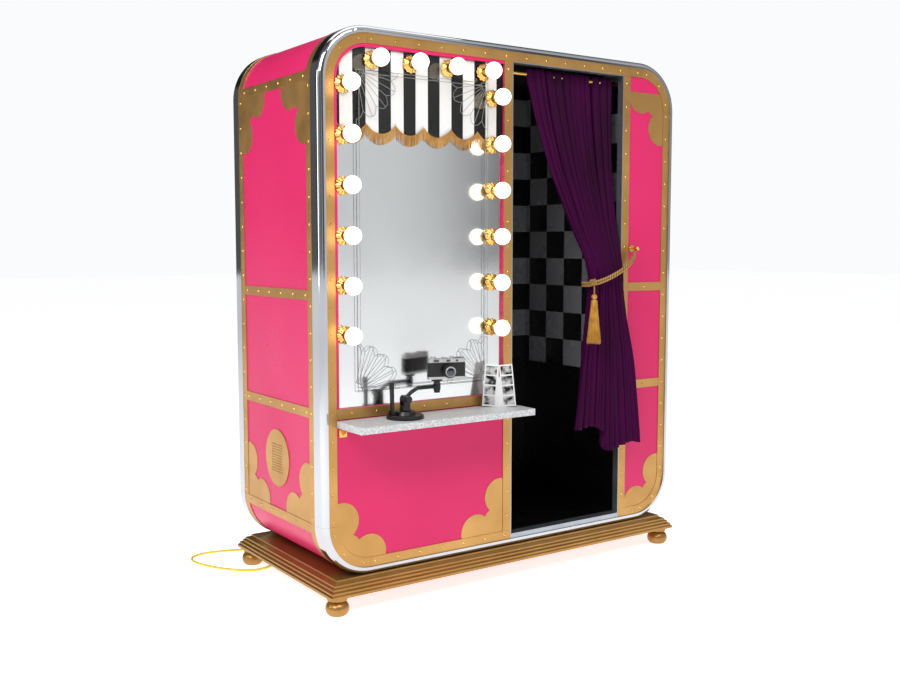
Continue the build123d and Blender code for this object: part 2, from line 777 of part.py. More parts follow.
with BuildPart() as dado_panels:
    dado_back_y = cabin_back_y - dado_thickness
    inner_left = door_left + dado_thickness + seam_gap
    inner_right = cabin_right - dado_thickness - seam_gap
    dado_front_y = front_y + 48
    add(upright_board(inner_left, inner_right, dado_back_y, cabin_back_y, cabin_floor_z, dado_top_z))
    for low_x in (door_left, cabin_right - dado_thickness):
        high_x = low_x + dado_thickness
        add(upright_board(low_x, high_x, dado_front_y, cabin_back_y, cabin_floor_z, dado_top_z))
dado_panels.part.label = "dado_panels"
export_step(dado_panels.part, "parts/dado_panels.step")

sill_depth = 45
with BuildPart() as door_frame:
    jamb_low = threshold_top + seam_gap
    jamb_high = head_z - jamb_thickness - seam_gap
    jamb_back = front_y + jamb_depth
    add(upright_board(door_right - jamb_thickness, door_right, front_y, jamb_back, jamb_low, jamb_high))
    add(upright_board(door_left, door_left + jamb_thickness, front_y, jamb_back, jamb_low, jamb_high))
    add(upright_board(door_left, door_right, front_y, jamb_back, head_z - jamb_thickness, head_z))
    add(upright_board(door_left, door_right, front_y, front_y + 3, base_z + trim_cover, threshold_top))
    add(upright_board(door_left, door_right, front_y, front_y + sill_depth, cabin_floor_z, threshold_top))
door_frame.part.label = "door_frame"
export_step(door_frame.part, "parts/door_frame.step")

control_thickness = 6
button_radius = 15
running_gap = 0.06
with BuildPart() as control_panel:
    with BuildSketch(Plane.YZ.offset(door_left)):
        with Locations((mid_y, (window_z + button_z) / 2)):
            RectangleRounded(300, 520, 14)
        with Locations((mid_y, window_z)):
            Rectangle(window_size - 20, window_size - 20, mode=Mode.SUBTRACT)
        with Locations((mid_y, button_z)):
            Circle(button_radius + running_gap, mode=Mode.SUBTRACT)
    extrude(amount=control_thickness)
control_panel.part.label = "control_panel"
export_step(control_panel.part, "parts/control_panel.step")

with BuildPart() as start_button:
    with BuildSketch(Plane.YZ.offset(door_left + control_thickness - 1.4)):
        with Locations((mid_y, button_z)):
            Circle(button_radius)
    extrude(amount=10)
    fillet(start_button.faces().sort_by(Axis.X)[-1].edges(), 3)
start_button.part.label = "start_button"
export_step(start_button.part, "parts/start_button.step")

unit_face_x = door_left - board  # the unit is screwed to the back of the partition
with BuildPart() as photo_unit:
    add(upright_board(unit_face_x - 238, unit_face_x, mid_y - 120, mid_y + 120, 1180, 1520))
    with BuildSketch(Plane.YZ.offset(unit_face_x)):
        with Locations((mid_y, window_z)):
            Circle(42)
            Circle(30, mode=Mode.SUBTRACT)
    extrude(amount=16)
    with BuildSketch(Plane.YZ.offset(unit_face_x)):
        with Locations((mid_y, window_z)):
            Circle(30)
    extrude(amount=4)
photo_unit.part.label = "photo_unit"
export_step(photo_unit.part, "parts/photo_unit.step")

# ================================================================ curtain, its rod and its tieback
rod_y = front_y + rod_setback
flange_thickness = 4
with BuildPart() as curtain_rod:
    with BuildSketch(Plane.YZ.offset(door_left + flange_thickness)):
        with Locations((rod_y, rod_z)):
            Circle(rod_radius)
    extrude(amount=cabin_right - door_left - 2 * flange_thickness)
curtain_rod.part.label = "curtain_rod"
export_step(curtain_rod.part, "parts/curtain_rod.step")

cup_length = 12
with BuildPart() as rod_flanges:
    for start_x, way in ((door_left, 1), (cabin_right, -1)):
        with BuildSketch(Plane.YZ.offset(start_x)):
            with Locations((rod_y, rod_z)):
                Circle(2.2 * rod_radius)
        extrude(amount=way * flange_thickness)
        with BuildSketch(Plane.YZ.offset(start_x + way * flange_thickness)):
            with Locations((rod_y, rod_z)):
                Circle(1.4 * rod_radius)
                Circle(rod_radius + running_gap, mode=Mode.SUBTRACT)
        extrude(amount=way * cup_length)
rod_flanges.part.label = "rod_flanges"
export_step(rod_flanges.part, "parts/rod_flanges.step")

tie_z = 1140  # where the tieback gathers the cloth
tie_to_rod = rod_z - tie_z
# height, left and right edge, and the front and back of the gathered cloth behind the strap face
curtain_sections = [
    (rod_z + 18, 88, 541, 36, 88),
    (tie_z + 0.781 * tie_to_rod, 138, 541, 36, 88),
    (tie_z + 0.544 * tie_to_rod, 205, 541, 30, 84),
    (tie_z + 0.249 * tie_to_rod, 305, 536, 4, 58),
    (tie_z + 0.063 * tie_to_rod, 336, 512, -68, -12),
    (tie_z, 322, 488, -84, -28),
    (1080, 316, 500, -84, -26),
    (800, 286, 560, -86, -24),
    (480, 250, 602, -90, -22),
]
with BuildPart() as curtain:
    for height, left, right, near, far in curtain_sections:
        with BuildSketch(Plane.XY.offset(height)):
            with Locations(((left + right) / 2, front_y + (near + far) / 2)):
                RectangleRounded(right - left, far - near, 20)
    loft(ruled=True)
    with BuildSketch(Plane.YZ.offset(door_left)):
        with Locations((rod_y, rod_z)):
            Circle(rod_radius + slip)
    extrude(amount=cabin_right - door_left, mode=Mode.SUBTRACT)
curtain.part.label = "curtain"
export_step(curtain.part, "parts/curtain.step")

hook_x = 604
hook_z = 1266
hook_reach = 38
with BuildPart() as tieback_hook:
    with BuildSketch(facing_front(face_y)):
        with Locations((hook_x, hook_z)):
            Circle(15)
    extrude(amount=5)
    with BuildSketch(facing_front(face_y)):
        with Locations((hook_x, hook_z)):
            Circle(4)
    extrude(amount=hook_reach)
    with Locations((hook_x, face_y - hook_reach, hook_z)):
        Sphere(9)
tieback_hook.part.label = "tieback_hook"
export_step(tieback_hook.part, "parts/tieback_hook.step")


def corner_radii(points):
    """Radius for each inner point: 0.45 of the shorter run, divided by the tangent of half the turn."""
    radii = []
    for before, here, after in zip(points, points[1:], points[2:]):
        run_in = Vector(*here) - Vector(*before)
        run_out = Vector(*after) - Vector(*here)
        turn = radians(run_in.get_angle(run_out))
        radii.append(0.45 * min(run_in.length, run_out.length) / tan(turn / 2))
    return radii


def cord_tube(points, radius):
    """Round tube along straight runs joined by tangent arcs."""
    with BuildPart() as tube:
        with BuildLine() as path:
            FilletPolyline(*points, radius=corner_radii(points))
        route = path.wires()[0]
        with BuildSketch(Plane(origin=route @ 0, z_dir=route % 0)):
            Circle(radius)
        sweep(path=route)
    share = tube.part.volume / (pi * radius**2 * route.length)
    tightest = round(min(corner_radii(points)))
    print("cord", round(route.length), "mm, tightest bend", tightest, "mm, volume share", round(share, 4))
    return tube.part


rope_radius = 4.5
strand_gap = 10.5
# x, distance behind the strap face, z: from the hook, across the front, round the bunch and back
tieback_route = [
    (603, -24, 1256), (566, -58, 1238), (514, -88, 1213), (455, -100, 1184), (396, -104, 1160),
    (344, -101, 1143), (308, -88, 1134), (300, -56, 1130), (310, -24, 1131), (350, -14, 1134),
    (405, -13, 1137), (460, -13, 1141), (508, -15, 1155), (545, -19, 1182), (576, -23, 1214),
    (598, -25, 1245),
]
knot_radius = 15
tassel_x = 291
tassel_y = front_y - 121
tassel_z = 1119.5
with BuildPart() as tieback_rope:
    with Locations((tassel_x, tassel_y + 9, tassel_z + knot_radius + 0.5)):
        Sphere(knot_radius)
    for drop in (0, strand_gap):
        strand = [(x, front_y + back, z - drop) for x, back, z in tieback_route]
        add(cord_tube(strand, rope_radius))
tieback_rope.part.label = "tieback_rope"
export_step(tieback_rope.part, "parts/tieback_rope.step")

with BuildPart() as tassel:
    with BuildSketch(Plane.XZ.offset(-tassel_y)):
        with BuildLine():
            Line((tassel_x, tassel_z), (tassel_x + 4, tassel_z))
            Line((tassel_x + 4, tassel_z), (tassel_x + 4, tassel_z - 29))
            ThreePointArc(
                (tassel_x + 4, tassel_z - 29), (tassel_x + 11, tassel_z - 39), (tassel_x + 5, tassel_z - 49)
            )
            Polyline(
                (tassel_x + 5, tassel_z - 49),
                (tassel_x + 13, tassel_z - 57),
                (tassel_x + 13, tassel_z - 70),
                (tassel_x + 18, tassel_z - 82),
                (tassel_x + 31, tassel_z - 226),
                (tassel_x, tassel_z - 226),
                (tassel_x, tassel_z),
            )
        make_face()
    revolve(axis=Axis((tassel_x, tassel_y, 0), (0, 0, 1)))
tassel.part.label = "tassel"
export_step(tassel.part, "parts/tassel.step")

# ================================================================ mirror, valance and bulbs
pane_y = front_y + pane_setback
pane_back_y = pane_y + pane_thickness
mirror_y = pane_back_y + cloth_gap
with BuildPart() as cover_glass:
    with BuildSketch(facing_front(pane_back_y)):
        add(mirror_outline(slip))
    extrude(amount=pane_thickness)
cover_glass.part.label = "cover_glass"
export_step(cover_glass.part, "parts/cover_glass.step")

with BuildPart() as mirror_glass:
    with BuildSketch(facing_front(mirror_y + mirror_thickness)):
        add(mirror_outline(slip))
    extrude(amount=mirror_thickness)
mirror_glass.part.label = "mirror_glass"
export_step(mirror_glass.part, "parts/mirror_glass.step")

backing_lap = 14
backing_inset = 20
with BuildPart() as mirror_backing:
    with BuildSketch(facing_front(back_of_face_y + lining)):
        add(face_outline(trim_cover + backing_inset))
        add(
            slab(
                mirror_left - backing_lap,
                door_left - board - slip,
                sill_top_z - backing_lap,
                mirror_top + backing_lap,
            ),
            mode=Mode.INTERSECT,
        )
    extrude(amount=lining)
mirror_backing.part.label = "mirror_backing"
export_step(mirror_backing.part, "parts/mirror_backing.step")

valance_drop = 256  # from the mirror's top edge to where two scallops meet
valance_bottom_z = mirror_top - valance_drop
scallop_drop = 34
fringe_length = 46
valance_thickness = 3
with BuildPart() as valance:
    with BuildSketch(facing_front(pane_back_y + 2 + valance_thickness)):
        add(mirror_outline(slip + 1))
        add(
            slab(mirror_left, mirror_right, valance_bottom_z - scallop_drop - fringe_length, mirror_top),
            mode=Mode.INTERSECT,
        )
    extrude(amount=valance_thickness)
valance.part.label = "valance"
export_step(valance.part, "parts/valance.step")

bulb_left_x = mirror_left + bulb_left_in
bulb_right_x = mirror_right - bulb_right_in
bulb_top_z = mirror_top - bulb_top_in
bulb_top_first_x = mirror_left + bulb_top_first_in
bulbs_per_side = 1 + int((bulb_top_z - bulb_row_gap - bulb_low_z) / bulb_pitch)
bulbs_on_top = 1 + int((bulb_right_x - bulb_row_gap / 2 - bulb_top_first_x) / bulb_top_pitch)
bulb_places = [(bulb_left_x, bulb_low_z + bulb_pitch * n) for n in range(bulbs_per_side)]
bulb_places += [(bulb_right_x, bulb_low_z + bulb_pitch * n) for n in range(bulbs_per_side)]
bulb_places += [(bulb_top_first_x + bulb_top_pitch * n, bulb_top_z) for n in range(bulbs_on_top)]
rosette_rise = 7
holder_radius = 15
holder_length = 22
neck_radius = 13
with BuildPart() as bulb_rosettes:
    with BuildSketch(facing_front(pane_y)):
        with Locations(bulb_places):
            Circle(0.6 * rosette_radius)
    extrude(amount=rosette_rise)
    with BuildSketch(facing_front(face_y)):
        with Locations(bulb_places):
            Circle(rosette_radius)
    extrude(amount=face_y - pane_y + rosette_rise, taper=30)
    with BuildSketch(facing_front(pane_y - rosette_rise)):
        with Locations(bulb_places):
            Circle(holder_radius)
    extrude(amount=holder_length)
bulb_rosettes.part.label = "bulb_rosettes"
export_step(bulb_rosettes.part, "parts/bulb_rosettes.step")

with BuildPart() as globe_bulbs:
    with BuildSketch(facing_front(pane_y - rosette_rise - holder_length)):
        with Locations(bulb_places):
            Circle(neck_radius)
    extrude(amount=16)
    with Locations([(x, front_y - bulb_offset, z) for x, z in bulb_places]):
        Sphere(bulb_radius)
globe_bulbs.part.label = "globe_bulbs"
export_step(globe_bulbs.part, "parts/globe_bulbs.step")

# ================================================================ counter
counter_left = -strap_in + 1
counter_right = post_left + post_strap_width / 2
with BuildPart() as counter_shelf:
    add(
        upright_board(
            counter_left, counter_right, front_y - counter_reach, front_y,
            counter_top_z - counter_thickness, counter_top_z,
        )
    )
    fillet(counter_shelf.edges().group_by(Axis.Y)[0], 2)
counter_shelf.part.label = "counter_shelf"
export_step(counter_shelf.part, "parts/counter_shelf.step")

bracket_width = 30
bracket_reach = 60
bracket_drop = 34
bracket_plate = 5
bracket_top_z = counter_top_z - counter_thickness
bracket_places = [counter_left + 22, (counter_left + counter_right) / 2, counter_right - 42]
with BuildPart() as shelf_brackets:
    for bracket_x in bracket_places:
        low_x = bracket_x - bracket_width / 2
        high_x = bracket_x + bracket_width / 2
        plate_low_z = bracket_top_z - bracket_plate
        leg_low_z = bracket_top_z - bracket_drop
        add(upright_board(low_x, high_x, face_y - bracket_reach, face_y, plate_low_z, bracket_top_z))
        add(upright_board(low_x, high_x, face_y - bracket_plate, face_y, leg_low_z, bracket_top_z))
        with BuildSketch(Plane.YZ.offset(bracket_x - 2.5)):
            with BuildLine():
                Polyline(
                    (face_y - bracket_plate, bracket_top_z - bracket_plate),
                    (face_y - bracket_plate, bracket_top_z - 0.8 * bracket_drop),
                    (face_y - 0.6 * bracket_reach, bracket_top_z - bracket_plate),
                    close=True,
                )
            make_face()
        extrude(amount=5)
shelf_brackets.part.label = "shelf_brackets"
export_step(shelf_brackets.part, "parts/shelf_brackets.step")

# ================================================================ camera arm on the counter
arm_x = -548
arm_y = front_y - 76
arm_foot_radius = 66
arm_foot_height = 14
arm_dome_height = 12
arm_top_z = counter_top_z + arm_foot_height + arm_dome_height
pivot_radius = 5
pivot_z = arm_top_z + 42
lever_x = arm_x - 52
lever_z = counter_top_z + arm_foot_height + 10
with BuildPart() as arm_base:
    with BuildSketch(Plane.XY.offset(counter_top_z)):
        with Locations((arm_x, arm_y)):
            Circle(arm_foot_radius)
    extrude(amount=arm_foot_height)
    chamfer(arm_base.edges().group_by(Axis.Z)[-1], 4)
    with BuildSketch(Plane.XY.offset(counter_top_z + arm_foot_height)):
        with Locations((arm_x, arm_y)):
            Circle(40)
    extrude(amount=arm_dome_height, taper=25)
    with BuildSketch(Plane.XY.offset(counter_top_z + arm_foot_height)):
        with Locations((lever_x, arm_y - 9), (lever_x, arm_y + 9)):
            Rectangle(14, 6)
    extrude(amount=16)
    with BuildSketch(Plane.XZ.offset(-arm_y)):
        with Locations((lever_x, lever_z)):
            Circle(2.5)
    extrude(amount=13, both=True)
    with BuildSketch(Plane.XY.offset(arm_top_z)):
        with Locations((arm_x, arm_y)):
            Circle(8)
    extrude(amount=8)
arm_base.part.label = "arm_base"
export_step(arm_base.part, "parts/arm_base.step")

with BuildPart() as lock_lever:
    with BuildSketch(Plane.XZ.offset(-arm_y)):
        with Locations((lever_x, lever_z)):
            Circle(6)
        with BuildLine():
            Polyline(
                (lever_x - 5, lever_z),
                (lever_x + 5, lever_z),
                (lever_x + 4, lever_z + 92),
                (lever_x - 8, lever_z + 92),
                close=True,
            )
        make_face()
        with Locations((lever_x, lever_z)):
            Circle(2.5 + running_gap, mode=Mode.SUBTRACT)
    extrude(amount=5.6, both=True)
    with BuildSketch(Plane.XY.offset(lever_z + 84)):
        with Locations((lever_x - 2, arm_y)):
            Circle(9)
    extrude(amount=22)
    fillet(lock_lever.edges().group_by(Axis.Z)[-1], 4)
lock_lever.part.label = "lock_lever"
export_step(lock_lever.part, "parts/lock_lever.step")

ear_thickness = 8
ear_gap = 16
with BuildPart() as arm_column:
    with BuildSketch(Plane.XY.offset(arm_top_z + 0.3)):
        with Locations((arm_x, arm_y)):
            Circle(19)
            Circle(8 + running_gap, mode=Mode.SUBTRACT)
    extrude(amount=8)
    with BuildSketch(Plane.XY.offset(arm_top_z + 8.3)):
        with Locations((arm_x, arm_y)):
            Circle(19)
    extrude(amount=10)
    for ear_side in (-1, 1):
        ear_mid_y = arm_y + ear_side * (ear_gap + ear_thickness) / 2
        with BuildSketch(Plane.XZ.offset(-ear_mid_y)):
            with BuildLine():
                Polyline(
                    (arm_x - 12, arm_top_z + 12),
                    (arm_x + 12, arm_top_z + 12),
                    (arm_x + 12, pivot_z),
                    (arm_x - 12, pivot_z),
                    close=True,
                )
            make_face()
            with Locations((arm_x, pivot_z)):
                Circle(12)
        extrude(amount=ear_thickness / 2, both=True)
    with BuildSketch(Plane.XZ.offset(-arm_y)):
        with Locations((arm_x, pivot_z)):
            Circle(pivot_radius)
    extrude(amount=ear_gap / 2 + ear_thickness + 5, both=True)
    with BuildSketch(Plane.XZ.offset(-(arm_y - ear_gap / 2 - ear_thickness))):
        with Locations((arm_x, pivot_z)):
            RegularPolygon(13, 8)
    extrude(amount=12)
arm_column.part.label = "arm_column"
export_step(arm_column.part, "parts/arm_column.step")

head_x = -414
head_sleeve_radius = 13
sleeve_low_z = pivot_z + 22
sleeve_high_z = sleeve_low_z + 24
head_shaft_radius = 6
with BuildPart() as arm_link:
    arm_route = [
        (arm_x, arm_y, pivot_z),
        (arm_x + 26, arm_y, pivot_z + 22),
        (arm_x + 52, arm_y, pivot_z + 34),
        (head_x, arm_y, pivot_z + 34),
    ]
    with BuildLine() as arm_path:
        FilletPolyline(*arm_route, radius=18)
    with BuildSketch(Plane(origin=arm_path.line @ 0, z_dir=arm_path.line % 0)):
        Circle(7)
    sweep(path=arm_path.line)
    with BuildSketch(Plane.XZ.offset(-arm_y)):
        with Locations((arm_x, pivot_z)):
            Circle(13)
    extrude(amount=ear_gap / 2 - 0.3, both=True)
    with BuildSketch(Plane.XY.offset(sleeve_low_z)):
        with Locations((head_x, arm_y)):
            Circle(head_sleeve_radius)
    extrude(amount=sleeve_high_z - sleeve_low_z)
    with BuildSketch(Plane.XZ.offset(-arm_y)):
        with Locations((arm_x, pivot_z)):
            Circle(pivot_radius + running_gap)
    extrude(amount=ear_gap, both=True, mode=Mode.SUBTRACT)
    with BuildSketch(Plane.XY.offset(sleeve_low_z - 20)):
        with Locations((head_x, arm_y)):
            Circle(head_shaft_radius + running_gap)
    extrude(amount=80, mode=Mode.SUBTRACT)
arm_link.part.label = "arm_link"
export_step(arm_link.part, "parts/arm_link.step")

camera_z = sleeve_high_z + 14
with BuildPart() as camera_head:
    with BuildSketch(Plane.XY.offset(sleeve_low_z - 10)):
        with Locations((head_x, arm_y)):
            Circle(head_shaft_radius)
    extrude(amount=camera_z - sleeve_low_z + 6)
    with BuildSketch(Plane.XY.offset(sleeve_low_z - 10)):
        with Locations((head_x, arm_y)):
            Circle(11)
    extrude(amount=9.7)
    with BuildSketch(Plane.XY.offset(camera_z - 6)):
        with Locations((head_x, arm_y)):
            Circle(20)
    extrude(amount=6)
    with BuildSketch(Plane.XY.offset(sleeve_high_z + 0.3)):
        with Locations((head_x, arm_y)):
            Circle(11)
    extrude(amount=8)
camera_head.part.label = "camera_head"
export_step(camera_head.part, "parts/camera_head.step")

# ---------------------------------------------------------------- camera on the arm
camera_turn = 20  # how far it faces towards -X
camera_length = 138
camera_depth = 33
camera_body_height = 60
camera_top_height = 13
camera_shift = 34  # middle of the camera, beside its mounting post
camera_x = head_x + camera_shift * cos(radians(camera_turn))
camera_y = arm_y - camera_shift * sin(radians(camera_turn))
camera_plane = Plane(
    origin=(camera_x, camera_y, camera_z),
    x_dir=(cos(radians(camera_turn)), -sin(radians(camera_turn)), 0),
    z_dir=(0, 0, 1),
)
lens_plane = Plane(
    origin=camera_plane.from_local_coords(Vector(4, -camera_depth / 2, 30)),
    x_dir=camera_plane.x_dir,
    z_dir=-camera_plane.y_dir,
)
deck_z = camera_body_height + camera_top_height
shutter_place = (38, 0)
lever_place = (56, 2)
with BuildPart() as camera_body:
    with BuildSketch(camera_plane):
        RectangleRounded(camera_length, camera_depth, 12)
    extrude(amount=camera_body_height)
    with BuildSketch(camera_plane.offset(camera_body_height)):
        RectangleRounded(camera_length - 2, camera_depth - 3, 11)
    extrude(amount=camera_top_height)
    with BuildSketch(camera_plane.offset(deck_z)):
        with Locations((-48, 0)):
            Circle(10)
        with Locations((20, 0)):
            Circle(8)
    extrude(amount=7)
    with BuildSketch(camera_plane.offset(deck_z)):
        with Locations((-6, 0)):
            Rectangle(18, 20)
    extrude(amount=4)
    with BuildSketch(camera_plane.offset(deck_z - 5)):
        with Locations(shutter_place):
            Circle(3 + running_gap)
    extrude(amount=6, mode=Mode.SUBTRACT)
    with BuildSketch(camera_plane.offset(deck_z)):
        with Locations(lever_place):
            Circle(3)
    extrude(amount=6)
camera_body.part.label = "camera_body"
export_step(camera_body.part, "parts/camera_body.step")

with BuildPart() as camera_lens:
    with BuildSketch(lens_plane):
        Circle(25)
    extrude(amount=7)
    with BuildSketch(lens_plane.offset(7)):
        Circle(19)
    extrude(amount=26)
camera_lens.part.label = "camera_lens"
export_step(camera_lens.part, "parts/camera_lens.step")

with BuildPart() as focus_ring:
    with BuildSketch(lens_plane.offset(12)):
        Circle(24)
        Circle(19 + running_gap, mode=Mode.SUBTRACT)
        with PolarLocations(24.6, 24):
            Circle(1.3, mode=Mode.SUBTRACT)
    extrude(amount=12)
focus_ring.part.label = "focus_ring"
export_step(focus_ring.part, "parts/focus_ring.step")

with BuildPart() as shutter_button:
    with BuildSketch(camera_plane.offset(deck_z - 2.6)):
        with Locations(shutter_place):
            Circle(3)
    extrude(amount=6)
    with BuildSketch(camera_plane.offset(deck_z + 2.4)):
        with Locations(shutter_place):
            Circle(4.5)
    extrude(amount=2.4)
shutter_button.part.label = "shutter_button"
export_step(shutter_button.part, "parts/shutter_button.step")

with BuildPart() as advance_lever:
    with BuildSketch(camera_plane.offset(deck_z + 0.4)):
        with Locations(lever_place):
            Circle(8)
            Circle(3 + running_gap, mode=Mode.SUBTRACT)
        with Locations((lever_place[0] - 6, lever_place[1] + 9)):
            Rectangle(30, 5)
        with Locations(lever_place):
            Circle(3 + running_gap, mode=Mode.SUBTRACT)
    extrude(amount=3)
advance_lever.part.label = "advance_lever"
export_step(advance_lever.part, "parts/advance_lever.step")

# ================================================================ photo card on the counter
card_turn = 34
card_lean = 8
strip_width = 50
strip_height = 156
strip_splay = 5
card_plane = Plane(
    origin=(-126, front_y - 62, counter_top_z),
    x_dir=(cos(radians(card_turn)), -sin(radians(card_turn)), 0),
    z_dir=(0, 0, 1),
)
card_face = Plane(
    origin=card_plane.origin,
    x_dir=card_plane.x_dir,
    z_dir=-card_plane.y_dir * cos(radians(card_lean)) + Vector(0, 0, sin(radians(card_lean))),
)
easel_plane = Plane(origin=card_plane.origin, x_dir=card_plane.y_dir, z_dir=card_plane.x_dir)
with BuildPart() as photo_card:
    with BuildSketch(card_face):
        for side in (-1, 1):
            with Locations(Location((side * 32, strip_height / 2 + 3), side * strip_splay)):
                Rectangle(strip_width, strip_height)
    extrude(amount=1.2)
    with BuildSketch(easel_plane):
        with BuildLine():
            lean = sin(radians(card_lean))
            Polyline((0.2, 0), (34, 0), (112 * lean + 1.5, 112), (112 * lean, 112), close=True)
        make_face()
    extrude(amount=30, both=True)
photo_card.part.label = "photo_card"
export_step(photo_card.part, "parts/photo_card.step")

# ================================================================ mains lead
lead_radius = 4.5
gland_x = -640
gland_y = 210
gland_z = 88
with BuildPart() as cable_gland:
    add(upright_board(gland_x, gland_x + 70, gland_y - 30, gland_y + 30, 64, base_z + trim_lap))
    with BuildSketch(Plane.YZ.offset(gland_x)):
        with Locations((gland_y, gland_z)):
            RegularPolygon(15, 6)
    extrude(amount=-9)
    with BuildSketch(Plane.YZ.offset(gland_x - 9)):
        with Locations((gland_y, gland_z)):
            Circle(11)
    extrude(amount=-24, taper=11)
    with BuildSketch(Plane.YZ.offset(gland_x - 33)):
        with Locations((gland_y, gland_z)):
            Circle(lead_radius + 0.2)
    extrude(amount=20, mode=Mode.SUBTRACT)
cable_gland.part.label = "cable_gland"
export_step(cable_gland.part, "parts/cable_gland.step")

lead_route = [
    (-653, 210, 88), (-690, 210, 88), (-725, 225, 68), (-757, 250, 39), (-792, 281, 15), (-836, 318, 5.2),
    (-884, 364, 4.8), (-927, 424, 4.6), (-958, 490, 4.9), (-977, 552, 4.6), (-972, 606, 4.9),
    (-932, 640, 4.6),
    (-880, 645, 4.9), (-826, 633, 4.6), (-774, 613, 4.8), (-732, 604, 4.7),
]
tail_route = [(-676, 605, 9), (-645, 601, 14), (-612, 590, 19), (-582, 590, 19)]
with BuildPart() as mains_cord:
    add(cord_tube(lead_route, lead_radius))
    add(cord_tube(tail_route, lead_radius))
mains_cord.part.label = "mains_cord"
export_step(mains_cord.part, "parts/mains_cord.step")

coil_x = -705
coil_y = 545
coil_mean_radius = 50
coil_section_width = 20
coil_height = 27
with BuildPart() as mains_coil:
    with BuildSketch(Plane.XY.offset(0.2)):
        with Locations((coil_x, coil_y)):
            Circle(coil_mean_radius + coil_section_width / 2)
            Circle(coil_mean_radius - coil_section_width / 2, mode=Mode.SUBTRACT)
    extrude(amount=coil_height)
    for end, beside, reach in ((lead_route[-1], lead_route[-2], 40), (tail_route[0], tail_route[1], 24)):
        inward = Vector(*end) - Vector(*beside)
        with BuildSketch(Plane(origin=end, z_dir=inward)):
            Circle(lead_radius)
        extrude(amount=reach)
mains_coil.part.label = "mains_coil"
export_step(mains_coil.part, "parts/mains_coil.step")

plug_x = -582
plug_y = 590
plug_z = 19
with BuildPart() as mains_plug:
    with BuildSketch(Plane.YZ.offset(plug_x)):
        with Locations((plug_y, plug_z)):
            Circle(8)
    extrude(amount=16, taper=-14)
    with BuildSketch(Plane.YZ.offset(plug_x + 16)):
        with Locations((plug_y, plug_z)):
            Circle(18)
    extrude(amount=34)
    with BuildSketch(Plane.YZ.offset(plug_x + 50)):
        with Locations((plug_y - 9.5, plug_z), (plug_y + 9.5, plug_z)):
            Circle(2.4)
    extrude(amount=19)
mains_plug.part.label = "mains_plug"
export_step(mains_plug.part, "parts/mains_plug.step")
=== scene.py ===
import math
import random
import bmesh
import bpy
from mathutils import Matrix, Vector


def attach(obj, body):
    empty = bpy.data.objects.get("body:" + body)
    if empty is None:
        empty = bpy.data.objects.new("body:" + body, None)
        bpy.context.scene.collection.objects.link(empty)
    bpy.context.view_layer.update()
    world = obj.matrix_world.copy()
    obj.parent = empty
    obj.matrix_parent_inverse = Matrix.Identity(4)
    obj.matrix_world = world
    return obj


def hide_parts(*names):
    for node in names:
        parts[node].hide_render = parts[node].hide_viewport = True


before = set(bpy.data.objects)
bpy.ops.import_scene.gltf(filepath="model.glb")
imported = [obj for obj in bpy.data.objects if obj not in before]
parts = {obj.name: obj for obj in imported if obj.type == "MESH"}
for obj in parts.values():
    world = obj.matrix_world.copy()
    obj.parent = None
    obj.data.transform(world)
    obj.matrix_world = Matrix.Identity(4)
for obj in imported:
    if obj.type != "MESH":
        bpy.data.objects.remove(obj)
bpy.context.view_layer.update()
rng = random.Random(11)
STRAP = -0.293  # face of the front straps
COUNTER = 0.678


# ------------------------------------------------------------ finishes
class Finish:
    """One surface finish, built from a few nodes."""

    def __init__(self, name):
        self.mat = bpy.data.materials.new(name)
        self.mat.use_nodes = True
        self.tree = self.mat.node_tree
        self.skin = self.tree.nodes["Principled BSDF"]
        self.here = self.add("ShaderNodeTexCoord").outputs["Object"]

    def add(self, kind, **values):
        node = self.tree.nodes.new(kind)
        for key, value in values.items():
            setattr(node, key, value)
        return node

    def plug(self, value, socket):
        if hasattr(value, "is_output"):
            self.tree.links.new(value, socket)
        else:
            socket.default_value = value

    def math(self, operation, a, b=0.0, c=0.0):
        node = self.add("ShaderNodeMath", operation=operation)
        for value, socket in zip((a, b, c), node.inputs):
            self.plug(value, socket)
        return node.outputs[0]

    def axis(self, index):
        split = self.add("ShaderNodeSeparateXYZ")
        self.plug(self.here, split.inputs[0])
        return split.outputs[index]

    def noise(self, scale, detail=3.0, stretch=(1, 1, 1)):
        place = self.add("ShaderNodeMapping")
        self.plug(self.here, place.inputs["Vector"])
        place.inputs["Scale"].default_value = stretch
        node = self.add("ShaderNodeTexNoise")
        node.inputs["Scale"].default_value = scale
        node.inputs["Detail"].default_value = detail
        self.plug(place.outputs[0], node.inputs["Vector"])
        return node.outputs["Fac"]

    def spread(self, value, low, high, start=0.3, end=0.7):
        node = self.add("ShaderNodeMapRange")
        for socket, number in zip(node.inputs, (value, start, end, low, high)):
            self.plug(number, socket)
        return node.outputs[0]

    def mix(self, share, a, b):
        node = self.add("ShaderNodeMix", data_type="RGBA")
        self.plug(share, node.inputs[0])
        self.plug(a, node.inputs[6])
        self.plug(b, node.inputs[7])
        return node.outputs[2]

    def set(self, **values):
        for key, value in values.items():
            self.plug(value, self.skin.inputs[key.replace("_", " ").replace("  ", " ")])
        return self

    def bump(self, height, distance, strength=0.5):
        node = self.add("ShaderNodeBump")
        node.inputs["Strength"].default_value = strength
        node.inputs["Distance"].default_value = distance
        self.plug(height, node.inputs["Height"])
        self.plug(node.outputs[0], self.skin.inputs["Normal"])
        return self


def rgb(red, green, blue):
    """A colour as seen on a screen, given from 0 to 255."""
    return tuple((value / 255) ** 2.2 for value in (red, green, blue)) + (1.0,)


